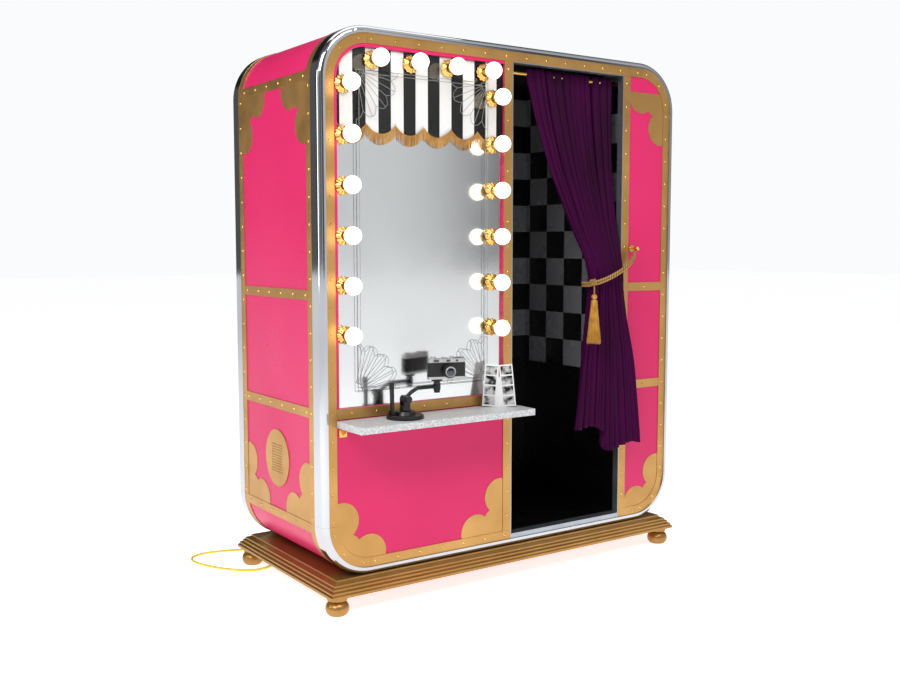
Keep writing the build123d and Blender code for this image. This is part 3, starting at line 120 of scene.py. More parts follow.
def plain(name, dark, light, rough=(0.3, 0.45), metal=0.0, grain=60, wear=4, depth=0.0002, **extra):
    """Even finish with soft colour drift, patchy gloss and a fine surface."""
    f = Finish(name)
    f.set(Base_Color=f.mix(f.spread(f.noise(wear), 0, 1), rgb(*dark), rgb(*light)))
    f.set(Roughness=f.spread(f.noise(wear * 3, 5), rough[0], rough[1]), Metallic=metal)
    f.bump(f.noise(grain, 4), depth, 0.4)
    for key, value in extra.items():
        f.plug(value, f.skin.inputs[key.replace("_", " ")])
    return f


def dress(name, finish):
    """Gives a carried-over part its finish."""
    mesh = parts[name].data
    mesh.materials.clear()
    mesh.materials.append(finish.mat)


pink = plain(
    "pink_lacquer", (198, 40, 92), (206, 46, 100), (0.26, 0.38), 0.0, 35, 1.5, 0.00005,
    Specular_IOR_Level=0.22,
)
gold = plain("gold_lacquer", (176, 134, 78), (196, 152, 92), (0.34, 0.46), 0.85, 90, 5, 0.0002)
brass = plain("polished_brass", (205, 158, 82), (226, 180, 104), (0.16, 0.28), 1.0, 120, 8, 0.0001)
plinth_gold = plain("bronze_lacquer", (156, 116, 62), (176, 134, 78), (0.32, 0.46), 0.8, 70, 4, 0.0003)
chrome = plain("chrome", (176, 179, 184), (196, 199, 203), (0.04, 0.09), 1.0, 20, 2, 0.0001)
steel = plain("satin_steel", (150, 152, 155), (176, 178, 180), (0.25, 0.4), 1.0, 200, 8, 0.0001)
alloy = plain("satin_alloy", (150, 158, 166), (172, 178, 184), (0.28, 0.4), 0.9, 150, 6, 0.0001)
black_paint = plain("black_enamel", (14, 14, 15), (24, 24, 26), (0.25, 0.4), 0.2, 150, 8, 0.0002)
black_plastic = plain("black_plastic", (16, 16, 17), (26, 26, 27), (0.45, 0.6), 0.0, 400, 8, 0.0002)
black_board = plain("black_laminate", (9, 9, 10), (16, 16, 18), (0.25, 0.4), 0.0, 90, 4, 0.0002)
red_plastic = plain("red_button", (170, 22, 24), (190, 30, 30), (0.2, 0.3), 0.0, 100, 9, 0.0001)
yellow = plain("yellow_sheath", (214, 186, 20), (232, 206, 40), (0.4, 0.55), 0.0, 200, 10, 0.0002)
cord_gold = plain(
    "gold_thread", (150, 100, 22), (196, 144, 50), (0.4, 0.6), 0.25, 600, 30, 0.0004,
    Sheen_Weight=0.1,
)

check = Finish("check_laminate")
squares = check.add("ShaderNodeTexChecker")
shifted = check.add("ShaderNodeMapping")
check.plug(check.here, shifted.inputs["Vector"])
shifted.inputs["Location"].default_value = (-0.51, -0.354, -0.741)
check.plug(shifted.outputs[0], squares.inputs["Vector"])
squares.inputs["Scale"].default_value = 1 / 0.12
check.set(Base_Color=check.mix(squares.outputs["Fac"], rgb(16, 16, 17), rgb(120, 121, 124)))
check.set(Roughness=check.spread(check.noise(8, 4), 0.2, 0.34)).bump(check.noise(90, 3), 0.0002, 0.3)

stone = Finish("speckled_stone")
chips = stone.add("ShaderNodeTexVoronoi")
stone.plug(stone.here, chips.inputs["Vector"])
chips.inputs["Scale"].default_value = 260
fleck = stone.spread(stone.noise(420, 2), 0, 1, 0.42, 0.6)
stone.set(Base_Color=stone.mix(fleck, rgb(150, 153, 155), rgb(214, 216, 217)))
stone.set(Roughness=stone.spread(chips.outputs["Distance"], 0.25, 0.42, 0.0, 1.0))
stone.bump(stone.noise(300, 2), 0.0002, 0.2)

globe = plain("opal_glass", (255, 246, 230), (255, 250, 240), (0.15, 0.22), 0.0, 60, 6, 0.0001)
globe.set(Emission_Color=rgb(255, 240, 214), Emission_Strength=2.6)

silver = Finish("silvered_glass")
haze = silver.noise(2.5, 4)
silvered = silver.mix(silver.spread(haze, 0, 1), rgb(214, 216, 217), rgb(226, 228, 229))
silver.set(Base_Color=silvered, Metallic=1.0)
silver.set(Roughness=silver.spread(haze, 0.08, 0.15)).bump(silver.noise(1.2, 1), 0.0006, 0.12)

clear = Finish("clear_pane")
see = clear.add("ShaderNodeBsdfTransparent")
shine = clear.add("ShaderNodeBsdfGlossy")
clear.plug(clear.spread(clear.noise(6, 3), 0.02, 0.06), shine.inputs["Roughness"])
edge = clear.spread(clear.noise(3, 2), 0.015, 0.025)
blended = clear.add("ShaderNodeMixShader")
clear.plug(edge, blended.inputs[0])
clear.plug(see.outputs[0], blended.inputs[1])
clear.plug(shine.outputs[0], blended.inputs[2])
clear.plug(blended.outputs[0], clear.tree.nodes["Material Output"].inputs["Surface"])

velvet = Finish("purple_velvet")
nap = velvet.noise(5, 4, (1, 1, 0.3))
velvet.set(Base_Color=velvet.mix(velvet.spread(nap, 0, 1), rgb(40, 0, 36), rgb(62, 2, 56)))
velvet.set(Roughness=velvet.spread(nap, 0.6, 0.8), Specular_IOR_Level=0.08)
velvet.set(Sheen_Weight=0.08, Sheen_Roughness=0.4)
velvet.set(Sheen_Tint=rgb(160, 30, 140)).bump(velvet.noise(900, 2), 0.0003, 0.4)

stripes = Finish("striped_satin")
across = stripes.math("FRACT", stripes.math("DIVIDE", stripes.math("ADD", stripes.axis(0), 1.005), 0.1018))
dark_band = stripes.math("LESS_THAN", across, 0.5)
stripes.set(Base_Color=stripes.mix(dark_band, rgb(214, 214, 214), rgb(8, 8, 9)))
stripes.set(Specular_IOR_Level=0.15, Roughness=stripes.spread(stripes.noise(30, 3), 0.4, 0.6))
stripes.bump(stripes.noise(700, 2), 0.0002, 0.4)

shell = Finish("camera_shell")
height = shell.axis(2)
over_base = shell.math("GREATER_THAN", height, 0.815)
hide = shell.math("MULTIPLY", over_base, shell.math("LESS_THAN", height, 0.8655))
shell.set(Base_Color=shell.mix(hide, rgb(190, 190, 190), rgb(15, 15, 16)))
shell.set(Metallic=shell.math("SUBTRACT", 1.0, hide))
shell.set(Roughness=shell.spread(shell.noise(40, 4), 0.25, 0.42)).bump(shell.noise(900, 3), 0.0006, 0.5)

twisted = Finish("twisted_cord")
along = twisted.add("ShaderNodeUVMap").outputs[0]
parted = twisted.add("ShaderNodeSeparateXYZ")
twisted.plug(along, parted.inputs[0])
turns_along = twisted.math("MULTIPLY", parted.outputs[0], 62.0)
winding = twisted.math("ADD", turns_along, twisted.math("MULTIPLY", parted.outputs[1], 2.0))
strand_relief_and_groove_shade = twisted.math("SINE", twisted.math("MULTIPLY", winding, math.tau))
# colour follows the strand relief: darker in the grooves between the strands, painted shade in the twist
twisted.set(Base_Color=twisted.mix(twisted.spread(strand_relief_and_groove_shade, 0, 1, -1, 1), rgb(96, 62, 14), rgb(190, 142, 62)))
twisted.set(Roughness=twisted.spread(twisted.noise(300, 2), 0.4, 0.6), Sheen_Weight=0.1)
twisted.bump(strand_relief_and_groove_shade, 0.0012, 0.8)

paper = plain("photo_paper", (206, 206, 206), (224, 224, 224), (0.2, 0.3), 0.0, 90, 12, 0.0001)
print_grey = Finish("printed_frames")
tone = print_grey.noise(46, 4)
tone_share = print_grey.spread(tone, 0, 1, 0.4, 0.6)
print_grey.set(Base_Color=print_grey.mix(tone_share, rgb(22, 22, 22), rgb(176, 176, 176)))
print_grey.set(Roughness=print_grey.spread(tone, 0.2, 0.32)).bump(print_grey.noise(90, 1), 0.0001, 0.2)
etched = plain("etched_line", (120, 120, 120), (136, 136, 136), (0.5, 0.65), 0.0, 200, 20, 0.0001)
lens_glass = plain(
    "coated_lens", (10, 12, 26), (18, 16, 34), (0.03, 0.07), 0.0, 60, 30, 0.0001, Coat_Weight=1.0
)

FINISHES = {
    pink: "top_and_bottom_panels corner_panels left_side_panel right_side_panel rear_panel service_door "
    "lower_front_panel right_front_panel mirror_surround",
    gold: "front_straps body_straps corner_plates speaker_grille",
    brass: "strap_rivets hinge_leaves_fixed hinge_leaves_door curtain_rod rod_flanges tieback_hook "
    "shelf_brackets bulb_rosettes",
    plinth_gold: "plinth_moulding bun_feet",
    chrome: "chrome_edge_trim",
    steel: "cam_lock shutter_button advance_lever control_panel",
    alloy: "door_frame",
    black_paint: "arm_base lock_lever arm_column arm_link camera_head photo_unit",
    black_plastic: "speaker_driver focus_ring cable_gland mains_plug",
    black_board: "cabin_floor cabin_ceiling dado_panels mirror_backing",
    red_plastic: "start_button",
    check: "partition_wall cabin_right_wall cabin_back_wall",
    stone: "counter_shelf",
    globe: "globe_bulbs",
    silver: "mirror_glass",
    clear: "cover_glass",
    shell: "camera_body camera_lens",
    paper: "photo_card",
    velvet: "curtain",
    twisted: "tieback_rope",
    cord_gold: "tassel",
    stripes: "valance",
    yellow: "mains_cord mains_coil",
}
for finish, names in FINISHES.items():
    for name in names.split():
        dress(name, finish)


# ------------------------------------------------------------ building blocks
# faces of a block whose eight corners are stored as two rings of four
BLOCK_FACES = ((0, 1, 2, 3), (7, 6, 5, 4), (0, 4, 5, 1), (1, 5, 6, 2), (2, 6, 7, 3), (3, 7, 4, 0))


def piece(name, points, faces, finish, body="cabinet", smooth=True):
    """New object from corners and faces, in the row frame."""
    mesh = bpy.data.meshes.new(name)
    mesh.from_pydata(points, [], faces)
    mesh.validate()
    bm = bmesh.new()
    bm.from_mesh(mesh)
    bmesh.ops.recalc_face_normals(bm, faces=bm.faces)
    bm.to_mesh(mesh)
    bm.free()
    mesh.materials.append(finish.mat)
    for face in mesh.polygons:
        face.use_smooth = smooth
    obj = bpy.data.objects.new(name, mesh)
    bpy.context.collection.objects.link(obj)
    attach(obj, body)
    return obj


def apply_nodes(obj, group):
    """Runs a node group on an object once and keeps the result."""
    step = obj.modifiers.new("grow", "NODES")
    step.node_group = group
    graph = bpy.context.evaluated_depsgraph_get()
    made = bpy.data.meshes.new_from_object(obj.evaluated_get(graph))
    obj.modifiers.remove(step)
    obj.data = made


THREAD_SIDES = 5
THREAD_SEED = 3


def thread_group(name, finish, length, radius):
    """A tapered thread on every point, hanging along the point's own lean."""
    group = bpy.data.node_groups.new(name, "GeometryNodeTree")
    face = group.interface
    face.new_socket("Geometry", in_out="INPUT", socket_type="NodeSocketGeometry")
    for label, value in (("Thread length", length), ("Thread radius", radius)):
        face.new_socket(label, in_out="INPUT", socket_type="NodeSocketFloat").default_value = value
    face.new_socket("Geometry", in_out="OUTPUT", socket_type="NodeSocketGeometry")
    make = group.nodes.new
    link = group.links.new
    given = make("NodeGroupInput")
    cone = make("GeometryNodeMeshCone")
    cone.inputs["Vertices"].default_value = THREAD_SIDES
    link(given.outputs["Thread length"], cone.inputs["Depth"])
    link(given.outputs["Thread radius"], cone.inputs["Radius Bottom"])
    slim = make("ShaderNodeMath")
    slim.operation = "MULTIPLY"
    slim.inputs[1].default_value = 0.8
    link(given.outputs["Thread radius"], slim.inputs[0])
    link(slim.outputs[0], cone.inputs["Radius Top"])
    lean = make("GeometryNodeInputNamedAttribute")
    lean.data_type = "FLOAT_VECTOR"
    lean.inputs["Name"].default_value = "lean"
    turn = make("FunctionNodeAlignRotationToVector")
    turn.axis = "Z"
    link(lean.outputs["Attribute"], turn.inputs["Vector"])
    vary = make("FunctionNodeRandomValue")
    vary.data_type = "FLOAT"
    vary.inputs["Min"].default_value = 0.93
    vary.inputs["Max"].default_value = 1.0
    vary.inputs["Seed"].default_value = THREAD_SEED
    place = make("GeometryNodeInstanceOnPoints")
    link(given.outputs["Geometry"], place.inputs["Points"])
    link(cone.outputs["Mesh"], place.inputs["Instance"])
    link(turn.outputs[0], place.inputs["Rotation"])
    value_out = [s for s in vary.outputs if s.enabled][0]
    link(value_out, place.inputs["Scale"])
    real = make("GeometryNodeRealizeInstances")
    link(place.outputs[0], real.inputs[0])
    coat = make("GeometryNodeSetMaterial")
    coat.inputs["Material"].default_value = finish.mat
    link(real.outputs[0], coat.inputs["Geometry"])
    link(coat.outputs[0], make("NodeGroupOutput").inputs[0])
    return group


def threads(name, roots, leans, finish, length, radius, body="cabinet"):
    """Hanging threads from the given roots."""
    mesh = bpy.data.meshes.new(name)
    mesh.from_pydata(roots, [], [])
    lean = mesh.attributes.new("lean", "FLOAT_VECTOR", "POINT")
    for n, way in enumerate(leans):
        lean.data[n].vector = way
    obj = bpy.data.objects.new(name, mesh)
    bpy.context.collection.objects.link(obj)
    apply_nodes(obj, thread_group(name + "_group", finish, length, radius))
    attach(obj, body)
    return obj


def grid_faces(columns, rows, start=0, wrap=False):
    """Quads over a grid of points stored row by row."""
    faces = []
    for r in range(rows - 1):
        for c in range(columns if wrap else columns - 1):
            a = start + r * columns + c
            b = start + r * columns + (c + 1) % columns
            faces.append((a, b, b + columns, a + columns))
    return faces


def turned(profile, centre, ripple, sides=48, lobes=12):
    """Points and faces of a lathe-turned shape facing the front, with a rippled rim.

    The profile gives a radius and a distance towards the front.
    """
    points = []
    for radius, out in profile:
        for n in range(sides):
            angle = math.tau * n / sides
            r = radius * (1 + ripple * abs(math.cos(angle * lobes / 2)) if radius > 0.02 else 1)
            across, rise = r * math.cos(angle), r * math.sin(angle)
            points.append((centre[0] + across, centre[1] - out, centre[2] + rise))
    faces = grid_faces(sides, len(profile), wrap=True)
    faces.append(tuple(range(sides)))
    faces.append(tuple(range(len(points) - sides, len(points))))
    return points, faces


def smooth_step(value):
    """Eases from 0 to 1, and stays there outside that span."""
    value = max(0.0, min(1.0, value))
    return value * value * (3 - 2 * value)


# ------------------------------------------------------------ softened edges
for name in ("plinth_moulding", "camera_body", "counter_shelf", "start_button"):
    soft = parts[name].modifiers.new("soft_edge", "BEVEL")
    soft.width = 0.0008
    soft.segments = 2
    soft.angle_limit = math.radians(40)

# ------------------------------------------------------------ bulb rosettes
bulb_spots = [(x, 0.973 + 0.169 * n) for x in (-0.742, -0.113) for n in range(6)]
bulb_spots += [(-0.629 + 0.158 * n, 1.908) for n in range(4)]
rosette_profile = [
    (0.0275, 0.0), (0.0285, 0.002), (0.0270, 0.0045), (0.0215, 0.006), (0.0205, 0.011),
    (0.0165, 0.012), (0.0160, 0.014), (0.0175, 0.016), (0.0160, 0.019), (0.0172, 0.022),
    (0.0158, 0.026), (0.0150, 0.036),
]
points, faces = [], []
for x, z in bulb_spots:
    more, sides = turned(rosette_profile, (x, STRAP + 0.0025, z), ripple=0.16)
    faces += [tuple(i + len(points) for i in face) for face in sides]
    points += more
rosettes = piece("turned_rosettes", points, faces, brass)
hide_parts("bulb_rosettes")

# ------------------------------------------------------------ curtain
# height, left and right edge, nearest and furthest cloth
CURTAIN = [
    (1.953, 0.088, 0.541, 0.036, 0.088),
    (1.760, 0.138, 0.541, 0.036, 0.088),
    (1.572, 0.205, 0.541, 0.030, 0.084),
    (1.338, 0.305, 0.536, 0.004, 0.058),
    (1.190, 0.336, 0.512, -0.068, -0.012),
    (1.140, 0.328, 0.486, -0.084, -0.028),
    (1.080, 0.320, 0.498, -0.084, -0.026),
    (0.800, 0.288, 0.558, -0.086, -0.024),
    (0.455, 0.250, 0.602, -0.090, -0.022),
]
COLUMNS, ROWS, PLEATS = 340, 118, 13
pleat_shift = [rng.uniform(-0.32, 0.32) for _ in range(PLEATS + 2)]
pleat_size = [rng.uniform(0.62, 1.0) for _ in range(PLEATS + 2)]


def curtain_section(height):
    """Edges and depth of the gathered cloth at one height."""
    for upper, lower in zip(CURTAIN, CURTAIN[1:]):
        if height >= lower[0]:
            share = (upper[0] - height) / (upper[0] - lower[0])
            return [a + (b - a) * share for a, b in zip(upper[1:], lower[1:])]
    return list(CURTAIN[-1][1:])


points = []
for r in range(ROWS):
    v = r / (ROWS - 1)
    for c in range(COLUMNS):
        u = c / (COLUMNS - 1)
        hem = 0.550 - 0.085 * smooth_step((u - 0.36) / 0.12) + 0.012 * math.sin(u * 9)
        z = 1.953 + (hem - 1.953) * v
        steps = [curtain_section(z + d) for d in (-0.05, -0.02, 0.02, 0.05)]
        left, right, near, far = (sum(values) / 4 for values in zip(*steps))
        place = u * PLEATS
        n = int(place)
        blend = place - n
        shift = pleat_shift[n] * (1 - blend) + pleat_shift[n + 1] * blend
        size = pleat_size[n] * (1 - blend) + pleat_size[n + 1] * blend
        phase = math.tau * (place + shift + 0.25 * math.sin(3.1 * v + n * 0.9))
        wave = math.sin(phase) * 0.85 + 0.15 * math.sin(2.3 * phase + 1.0 + 4 * v)
        ease = 0.75 + 0.25 * math.cos(v * math.pi)
        deep = (far - near) / 2 * 0.94 * size * (1.0 if z < 1.2 else ease)
        fold = -(right - left) / PLEATS * 0.34 * math.sin(phase + math.pi / 2)
        x = left + (right - left) * (0.015 + 0.97 * u) + fold
        y = STRAP + (near + far) / 2 - deep * wave
        points.append((x, y, z))
curtain = piece("pleated_curtain", points, grid_faces(COLUMNS, ROWS), velvet)
thick = curtain.modifiers.new("thickness", "SOLIDIFY")
thick.thickness = 0.0022
thick.offset = 0
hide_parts("curtain")

# ------------------------------------------------------------ tieback
TIE_ROUTE = [
    (603, -24, 1256), (566, -58, 1238), (514, -90, 1213), (455, -102, 1184), (396, -104, 1160),
    (344, -101, 1143), (308, -88, 1134), (300, -56, 1130), (310, -24, 1131), (350, -14, 1134),
    (405, -13, 1137), (460, -13, 1141), (508, -15, 1155), (545, -19, 1182), (576, -23, 1214),
    (598, -25, 1245),
]


def rope(name, route, radius, finish):
    """Smooth rope through the points."""
    curve = bpy.data.curves.new(name, "CURVE")
    curve.dimensions = "3D"
    curve.bevel_depth = radius
    curve.bevel_resolution = 4
    curve.resolution_u = 6
    curve.use_fill_caps = True
    line = curve.splines.new("NURBS")
    line.points.add(len(route) - 1)
    for point, spot in zip(line.points, route):
        point.co = (*spot, 1.0)
    line.order_u = 3
    line.use_endpoint_u = True
    curve.materials.append(finish.mat)
    obj = bpy.data.objects.new(name, curve)
    bpy.context.collection.objects.link(obj)
    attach(obj, "cabinet")
    return obj


for label, drop in (("upper", 0.0), ("lower", 0.0105)):
    route = [(x / 1000, STRAP + y / 1000, z / 1000 - drop) for x, y, z in TIE_ROUTE]
    strand_piece = rope("tieback_" + label, route, 0.0045, twisted)
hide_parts("tieback_rope")

# ------------------------------------------------------------ tassel and its knot
TX, TY, TZ = 0.291, STRAP - 0.121, 1.1195


def upright(profile, centre, sides=40):
    """Points and faces of a turned shape standing on Z; profile is (radius, height)."""
    points = []
    for radius, height in profile:
        for n in range(sides):
            a = math.tau * n / sides
            points.append((centre[0] + radius * math.cos(a), centre[1] + radius * math.sin(a), height))
    faces = grid_faces(sides, len(profile), wrap=True)
    faces.append(tuple(range(sides)))
    faces.append(tuple(range(len(points) - sides, len(points))))
    return points, faces


knot_turns = []
for n in range(34):
    a = math.tau * n / 11
    knot_turns.append((TX + 0.009 * math.cos(a), TY + 0.010 + 0.009 * math.sin(a), TZ + 0.004 + 0.0007 * n))
knot = rope("tieback_knot", knot_turns, 0.0045, twisted)
# radius, and the drop below the tassel's top
NECK = [
    (0.003, 0), (0.003, 0.029), (0.010, 0.033), (0.0115, 0.039), (0.010, 0.045), (0.004, 0.049),
    (0.010, 0.052), (0.0135, 0.058), (0.0125, 0.064), (0.0145, 0.070), (0.013, 0.076), (0.010, 0.080),
]
neck_profile = [(radius, TZ - drop) for radius, drop in NECK]
head = piece("tassel_head", *upright(neck_profile, (TX, TY)), cord_gold, "hanging_tassel")
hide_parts("tassel")
roots, leans = [], []
for ring, spread_out in ((0.005, 0.010), (0.009, 0.019), (0.0125, 0.028)):
    count = int(ring * 5200)
    for n in range(count):
        a = math.tau * (n + rng.uniform(-0.2, 0.2)) / count
        roots.append((TX + ring * math.cos(a), TY + ring * math.sin(a), TZ - 0.074))
        push = (spread_out - ring) / 0.15 * rng.uniform(0.8, 1.05)
        leans.append((push * math.cos(a), push * math.sin(a), -1))
threads("tassel_skirt", roots, leans, cord_gold, 0.150, 0.0011, "hanging_tassel")

# ------------------------------------------------------------ valance and its fringe
LEFT, RIGHT, TOP = -0.7635, -0.0585, 1.9485
SCALLOP, PEAK, SAG = 0.1175, 1.694, 0.034
CLOTH_Y = STRAP + 0.0105


def hem_height(x):
    """Height of the scalloped hem."""
    return PEAK - SAG * math.sin(math.pi * (((x - LEFT) / SCALLOP) % 1.0)) ** 0.75


def top_height(x):
    """Height of the cloth's upper edge, round at the mirror's corner."""
    reach = LEFT + 0.111 - x
    return TOP if reach < 0 else TOP - 0.111 + math.sqrt(max(0.0, 0.111**2 - reach**2))


columns = 283
points = []
for r in range(12):
    for c in range(columns):
        x = LEFT + 0.002 + (RIGHT - LEFT - 0.004) * c / (columns - 1)
        v = r / 11
        low = hem_height(x)
        z = top_height(x) + (low - top_height(x)) * v
        points.append((x, CLOTH_Y + 0.0012 * math.sin(x * 53) * v, z))
valance = piece("striped_valance", points, grid_faces(columns, 12), stripes)
thick = valance.modifiers.new("thickness", "SOLIDIFY")
thick.thickness = 0.001
thick.offset = 0
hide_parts("valance")
hem_line = [(LEFT + 0.003 + (RIGHT - LEFT - 0.006) * n / 319) for n in range(320)]
fringe = threads(
    "valance_fringe",
    [(x, CLOTH_Y - 0.0008, hem_height(x) + 0.003) for x in hem_line],
    [(rng.uniform(-0.05, 0.05), 0, -1) for _ in hem_line],
    cord_gold, 0.040, 0.0009,
)
braid_route = [(x, CLOTH_Y - 0.0010, hem_height(x)) for x in hem_line[::3]]
braid = rope("valance_braid", braid_route, 0.0015, cord_gold)

# ------------------------------------------------------------ etched lines on the pane
LINE_Y = STRAP + 0.0035


def strip(points, faces, a, b, width=0.0018):
    """One thin raised line from a to b, both (x, z)."""
    run = Vector((b[0] - a[0], b[1] - a[1]))
    if run.length < 1e-6:
        return
    side = Vector((-run.y, run.x)).normalized() * width / 2
    start = len(points)
    for y in (LINE_Y, LINE_Y + 0.0004):
        for spot, way in ((a, 1), (b, 1), (b, -1), (a, -1)):
            points.append((spot[0] + way * side.x, y, spot[1] + way * side.y))
    faces += [tuple(start + i for i in face) for face in BLOCK_FACES]


points, faces = [], []
BL, BR, BB, BT = -0.689, -0.133, 0.772, 1.872
for inset in (0.0, 0.011):
    l, r, b, t = BL + inset, BR - inset, BB + inset, BT - inset
    for a, e in (((l, b), (l, t)), ((r, b), (r, t)), ((l, b), (r, b)), ((l, t), (r, t))):
        strip(points, faces, a, e)
for cx, cz, sx, sz in ((BL, BB, 1, 1), (BR, BB, -1, 1), (BL, BT, 1, -1), (BR, BT, -1, -1)):
    rays = 8
    ends = []
    for n in range(rays + 1):
        a = math.pi / 2 * n / rays
        reach = 0.165 if n % 2 == 0 else 0.140
        ends.append((cx + sx * reach * math.cos(a), cz + sz * reach * math.sin(a)))
        strip(points, faces, (cx + sx * 0.03 * math.cos(a), cz + sz * 0.03 * math.sin(a)), ends[-1])
    for first, last in zip(ends, ends[1:]):
        swell = Vector(((first[0] + last[0]) / 2 - cx, (first[1] + last[1]) / 2 - cz)).normalized() * 0.010
        curve_points = []
        for k in range(7):
            t = k / 6
            bulge = 4 * t * (1 - t)
            x = first[0] + (last[0] - first[0]) * t + swell.x * bulge
            z = first[1] + (last[1] - first[1]) * t + swell.y * bulge
            curve_points.append((x, z))
        for a, e in zip(curve_points, curve_points[1:]):
            strip(points, faces, a, e)
    for n in range(10):
        angles = [math.pi / 2 * m / 10 for m in (n, n + 1)]
        hub = [(cx + sx * 0.03 * math.cos(a), cz + sz * 0.03 * math.sin(a)) for a in angles]
        strip(points, faces, *hub)
piece("pane_lines", points, faces, etched, smooth=False)

# ------------------------------------------------------------ camera details
axis = Vector((-math.sin(math.radians(20)), -math.cos(math.radians(20)), 0))
right = Vector((math.cos(math.radians(20)), -math.sin(math.radians(20)), 0))
lens_at = Vector((-0.383935, -0.397502, 0.836))
up = Vector((0, 0, 1))


def lens_ring(name, profile, finish, sides=48):
    """Turned ring around the lens direction; profile is (radius, distance out)."""
    pts = []
    for radius, out in profile:
        for n in range(sides):
            a = math.tau * n / sides
            spoke = right * radius * math.cos(a) + up * radius * math.sin(a)
            pts.append(tuple(lens_at + axis * out + spoke))
    fcs = grid_faces(sides, len(profile), wrap=True)
    fcs += [tuple(range(sides)), tuple(range(len(pts) - sides, len(pts)))]
    piece(name, pts, fcs, finish, "camera")


GLASS_PROFILE = [(0.0145, 0.0325), (0.0145, 0.0335), (0.011, 0.0342), (0.006, 0.0347)]
RIM_PROFILE = [(0.0190, 0.0331), (0.0190, 0.0338), (0.0175, 0.0340), (0.0165, 0.0334)]
lens_ring("lens_front_glass", GLASS_PROFILE, lens_glass)
lens_ring("lens_front_rim", RIM_PROFILE, steel)


def camera_block(name, across, height, wide, tall, out, finish):
    """Small window standing just proud of the camera's front, across from its middle."""
    base = Vector((-0.382050, -0.380629, 0.806)) + axis * 0.0163
    points = []
    for depth in (0.0, out):
        for sx, sz in ((-1, -1), (1, -1), (1, 1), (-1, 1)):
            beside, above = across + sx * wide / 2, height + sz * tall / 2
            points.append(tuple(base + axis * depth + right * beside + up * above))
    piece(name, points, BLOCK_FACES, finish, "camera", smooth=False)


camera_block("finder_frame", -0.040, 0.066, 0.022, 0.011, -0.0008, steel)
camera_block("finder_glass", -0.040, 0.066, 0.017, 0.007, 0.0004, lens_glass)
camera_block("meter_glass", 0.004, 0.066, 0.013, 0.007, 0.0004, lens_glass)
camera_block("second_glass", 0.036, 0.066, 0.008, 0.006, 0.0004, lens_glass)

# ------------------------------------------------------------ frames printed on the card
turn, lean = math.radians(34), math.radians(8)
card_across = Vector((math.cos(turn), -math.sin(turn), 0))
card_back = Vector((math.sin(turn), math.cos(turn), 0))
card_out = -card_back * math.cos(lean) + up * math.sin(lean)
card_up = card_out.cross(card_across)
card_foot = Vector((-0.126, STRAP - 0.062, COUNTER + 0.0003))
points, faces = [], []
for side in (-1, 1):
    splay = math.radians(side * 5)
    base = card_foot + card_across * side * 0.032 + card_up * 0.081
    sx = card_across * math.cos(splay) + card_up * math.sin(splay)
    sz = card_up * math.cos(splay) - card_across * math.sin(splay)
    for n in range(4):
        middle = base + sz * (0.0375 * (n - 1.5)) + card_out * 0.0012
        start = len(points)
        for depth in (0.0, 0.0003):
            for dx, dz in ((-1, -1), (1, -1), (1, 1), (-1, 1)):
                points.append(tuple(middle + card_out * depth + sx * dx * 0.0205 + sz * dz * 0.0160))
        faces += [tuple(start + i for i in face) for face in BLOCK_FACES]
piece("card_frames", points, faces, print_grey, smooth=False)

# ------------------------------------------------------------ mains lead
LEAD = [
    (-653, 210, 88), (-690, 210, 88), (-725, 225, 68), (-757, 250, 39), (-792, 281, 15), (-836, 318, 5.2),
    (-884, 364, 4.8), (-927, 424, 4.6), (-958, 490, 4.9), (-977, 552, 4.6), (-972, 606, 4.9),
    (-932, 640, 4.6), (-880, 645, 4.9), (-826, 633, 4.6), (-774, 613, 4.8), (-732, 602, 4.7),
]
TAIL = [(-676, 605, 22), (-645, 601, 20), (-612, 590, 19), (-582, 590, 19)]
lead = [tuple(v / 1000 for v in spot) for spot in LEAD]
# radius and height that each turn of the coil starts from
LEVELS = [(54.7, 4.7), (45.3, 4.7), (45.3, 13.9), (54.7, 13.9), (54.7, 23.1), (54.7, 23.1)]
COIL_TURNS, POINTS_PER_TURN = 5, 15
COIL_X, COIL_Y = -0.705, 0.545
for n in range(COIL_TURNS * POINTS_PER_TURN):
    share = n / POINTS_PER_TURN
    lap = int(share)
    ease = smooth_step((share - lap - 0.72) / 0.28)
    (r0, z0), (r1, z1) = LEVELS[lap], LEVELS[lap + 1]
    radius, level = r0 + (r1 - r0) * ease, z0 + (z1 - z0) * ease
    a = math.radians(90) - math.tau * share
    x, y = COIL_X + radius / 1000 * math.cos(a), COIL_Y + radius / 1000 * math.sin(a)
    lead.append((x, y, level / 1000))
lead += [tuple(v / 1000 for v in spot) for spot in TAIL]
lead_piece = rope("mains_lead", lead, 0.0045, yellow)
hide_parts("mains_cord", "mains_coil")

# ------------------------------------------------------------ room, lights and camera
def lamp(name, place, aim, size, power):
    """Soft rectangular light aimed at a point."""
    data = bpy.data.lights.new(name, "AREA")
    data.shape = "RECTANGLE"
    data.size, data.size_y = size
    data.energy = power
    obj = bpy.data.objects.new(name, data)
    bpy.context.collection.objects.link(obj)
    look = (Vector(aim) - Vector(place)).to_track_quat("-Z", "Y")
    obj.matrix_world = Matrix.Translation(place) @ look.to_matrix().to_4x4()


lamp("key", (-4.4, -2.6, 4.4), (0, 0, 1.0), (2.6, 2.2), 190)
lamp("front", (-0.6, -4.2, 5.4), (0, 0, 1.2), (2.4, 1.6), 110)
lamp("top", (0, 0.6, 5.2), (0, 0, 0), (4.0, 3.0), 60)
lamp("side", (-5.2, 1.4, 2.2), (0, 0, 1.0), (1.0, 2.6), 40)

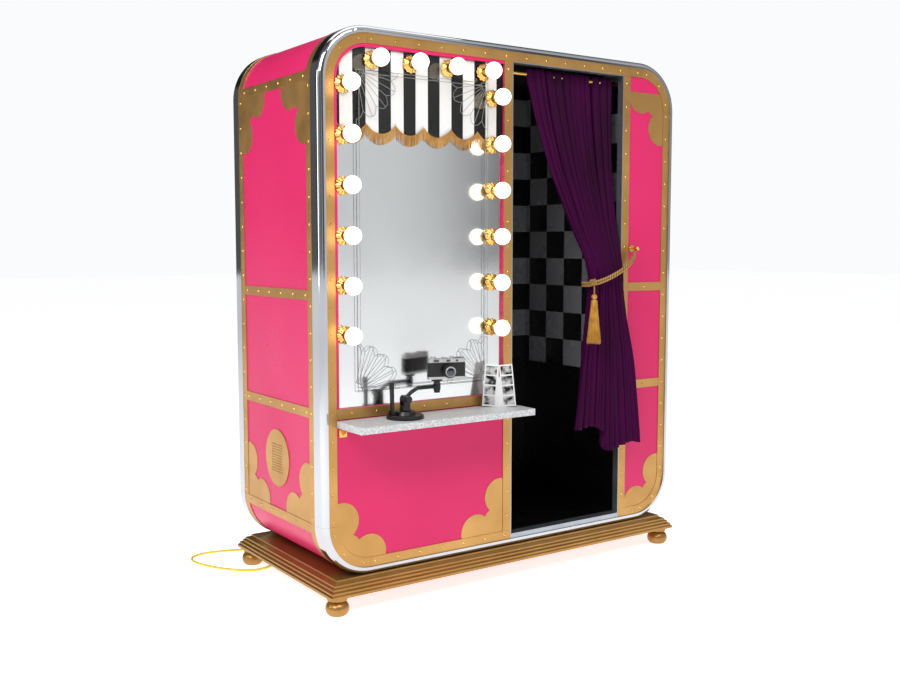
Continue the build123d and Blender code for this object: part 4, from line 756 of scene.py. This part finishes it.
floor_finish = plain("pale_floor", (240, 240, 240), (245, 245, 245), (0.7, 0.8), 0.0, 20, 0.5, 0.0002)
floor_finish.set(Emission_Color=(1, 1, 1, 1), Emission_Strength=0.75)
mesh = bpy.data.meshes.new("studio_floor")
mesh.from_pydata([(-40, -40, 0), (40, -40, 0), (40, 40, 0), (-40, 40, 0)], [], [(0, 1, 2, 3)])
mesh.materials.append(floor_finish.mat)
floor = bpy.data.objects.new("studio_floor", mesh)
bpy.context.collection.objects.link(floor)

world = bpy.data.worlds.new("studio")
bpy.context.scene.world = world
world.use_nodes = True
tree = world.node_tree
bands = tree.nodes.new("ShaderNodeTexNoise")
bands.inputs["Scale"].default_value = 2.6
bands.inputs["Detail"].default_value = 1.0
place = tree.nodes.new("ShaderNodeMapping")
place.inputs["Scale"].default_value = (1, 1, 0.25)
contrast = tree.nodes.new("ShaderNodeMapRange")
for socket, number in zip(contrast.inputs[1:5], (0.44, 0.56, 0.08, 0.52)):
    socket.default_value = number
ray = tree.nodes.new("ShaderNodeLightPath")
backdrop = tree.nodes.new("ShaderNodeMix")
backdrop.inputs[3].default_value = 1.0
sky_way = tree.nodes.new("ShaderNodeTexCoord").outputs["Generated"]
tree.links.new(sky_way, place.inputs[0])
tree.links.new(place.outputs[0], bands.inputs["Vector"])
tree.links.new(bands.outputs["Fac"], contrast.inputs[0])
tree.links.new(ray.outputs["Is Camera Ray"], backdrop.inputs[0])
parts_of_sky = tree.nodes.new("ShaderNodeSeparateXYZ")
tree.links.new(sky_way, parts_of_sky.inputs[0])
front_to_back = tree.nodes.new("ShaderNodeMapRange")
for socket, number in zip(front_to_back.inputs[1:5], (-0.5, 0.5, 1.5, 0.25)):
    socket.default_value = number
tree.links.new(parts_of_sky.outputs[1], front_to_back.inputs[0])
dimmed = tree.nodes.new("ShaderNodeMath")
dimmed.operation = "MULTIPLY"
tree.links.new(contrast.outputs[0], dimmed.inputs[0])
tree.links.new(front_to_back.outputs[0], dimmed.inputs[1])
tree.links.new(dimmed.outputs[0], backdrop.inputs[2])
tree.links.new(backdrop.outputs[0], tree.nodes["Background"].inputs["Strength"])
tree.nodes["Background"].inputs["Color"].default_value = (0.96, 0.97, 0.98, 1)

view = bpy.data.cameras.new("view")
view.lens = 41.69
view.sensor_width = 36
eye = bpy.data.objects.new("view", view)
bpy.context.collection.objects.link(eye)
yaw, pitch = math.radians(34.6), math.radians(5.04)
ahead = Vector((math.sin(yaw) * math.cos(pitch), math.cos(yaw) * math.cos(pitch), -math.sin(pitch)))
aimed = ahead.to_track_quat("-Z", "Y").to_matrix().to_4x4()
eye.matrix_world = Matrix.Translation((-2.463, -3.421, 1.278)) @ aimed
bpy.context.scene.camera = eye
bpy.context.scene.view_settings.view_transform = "Standard"
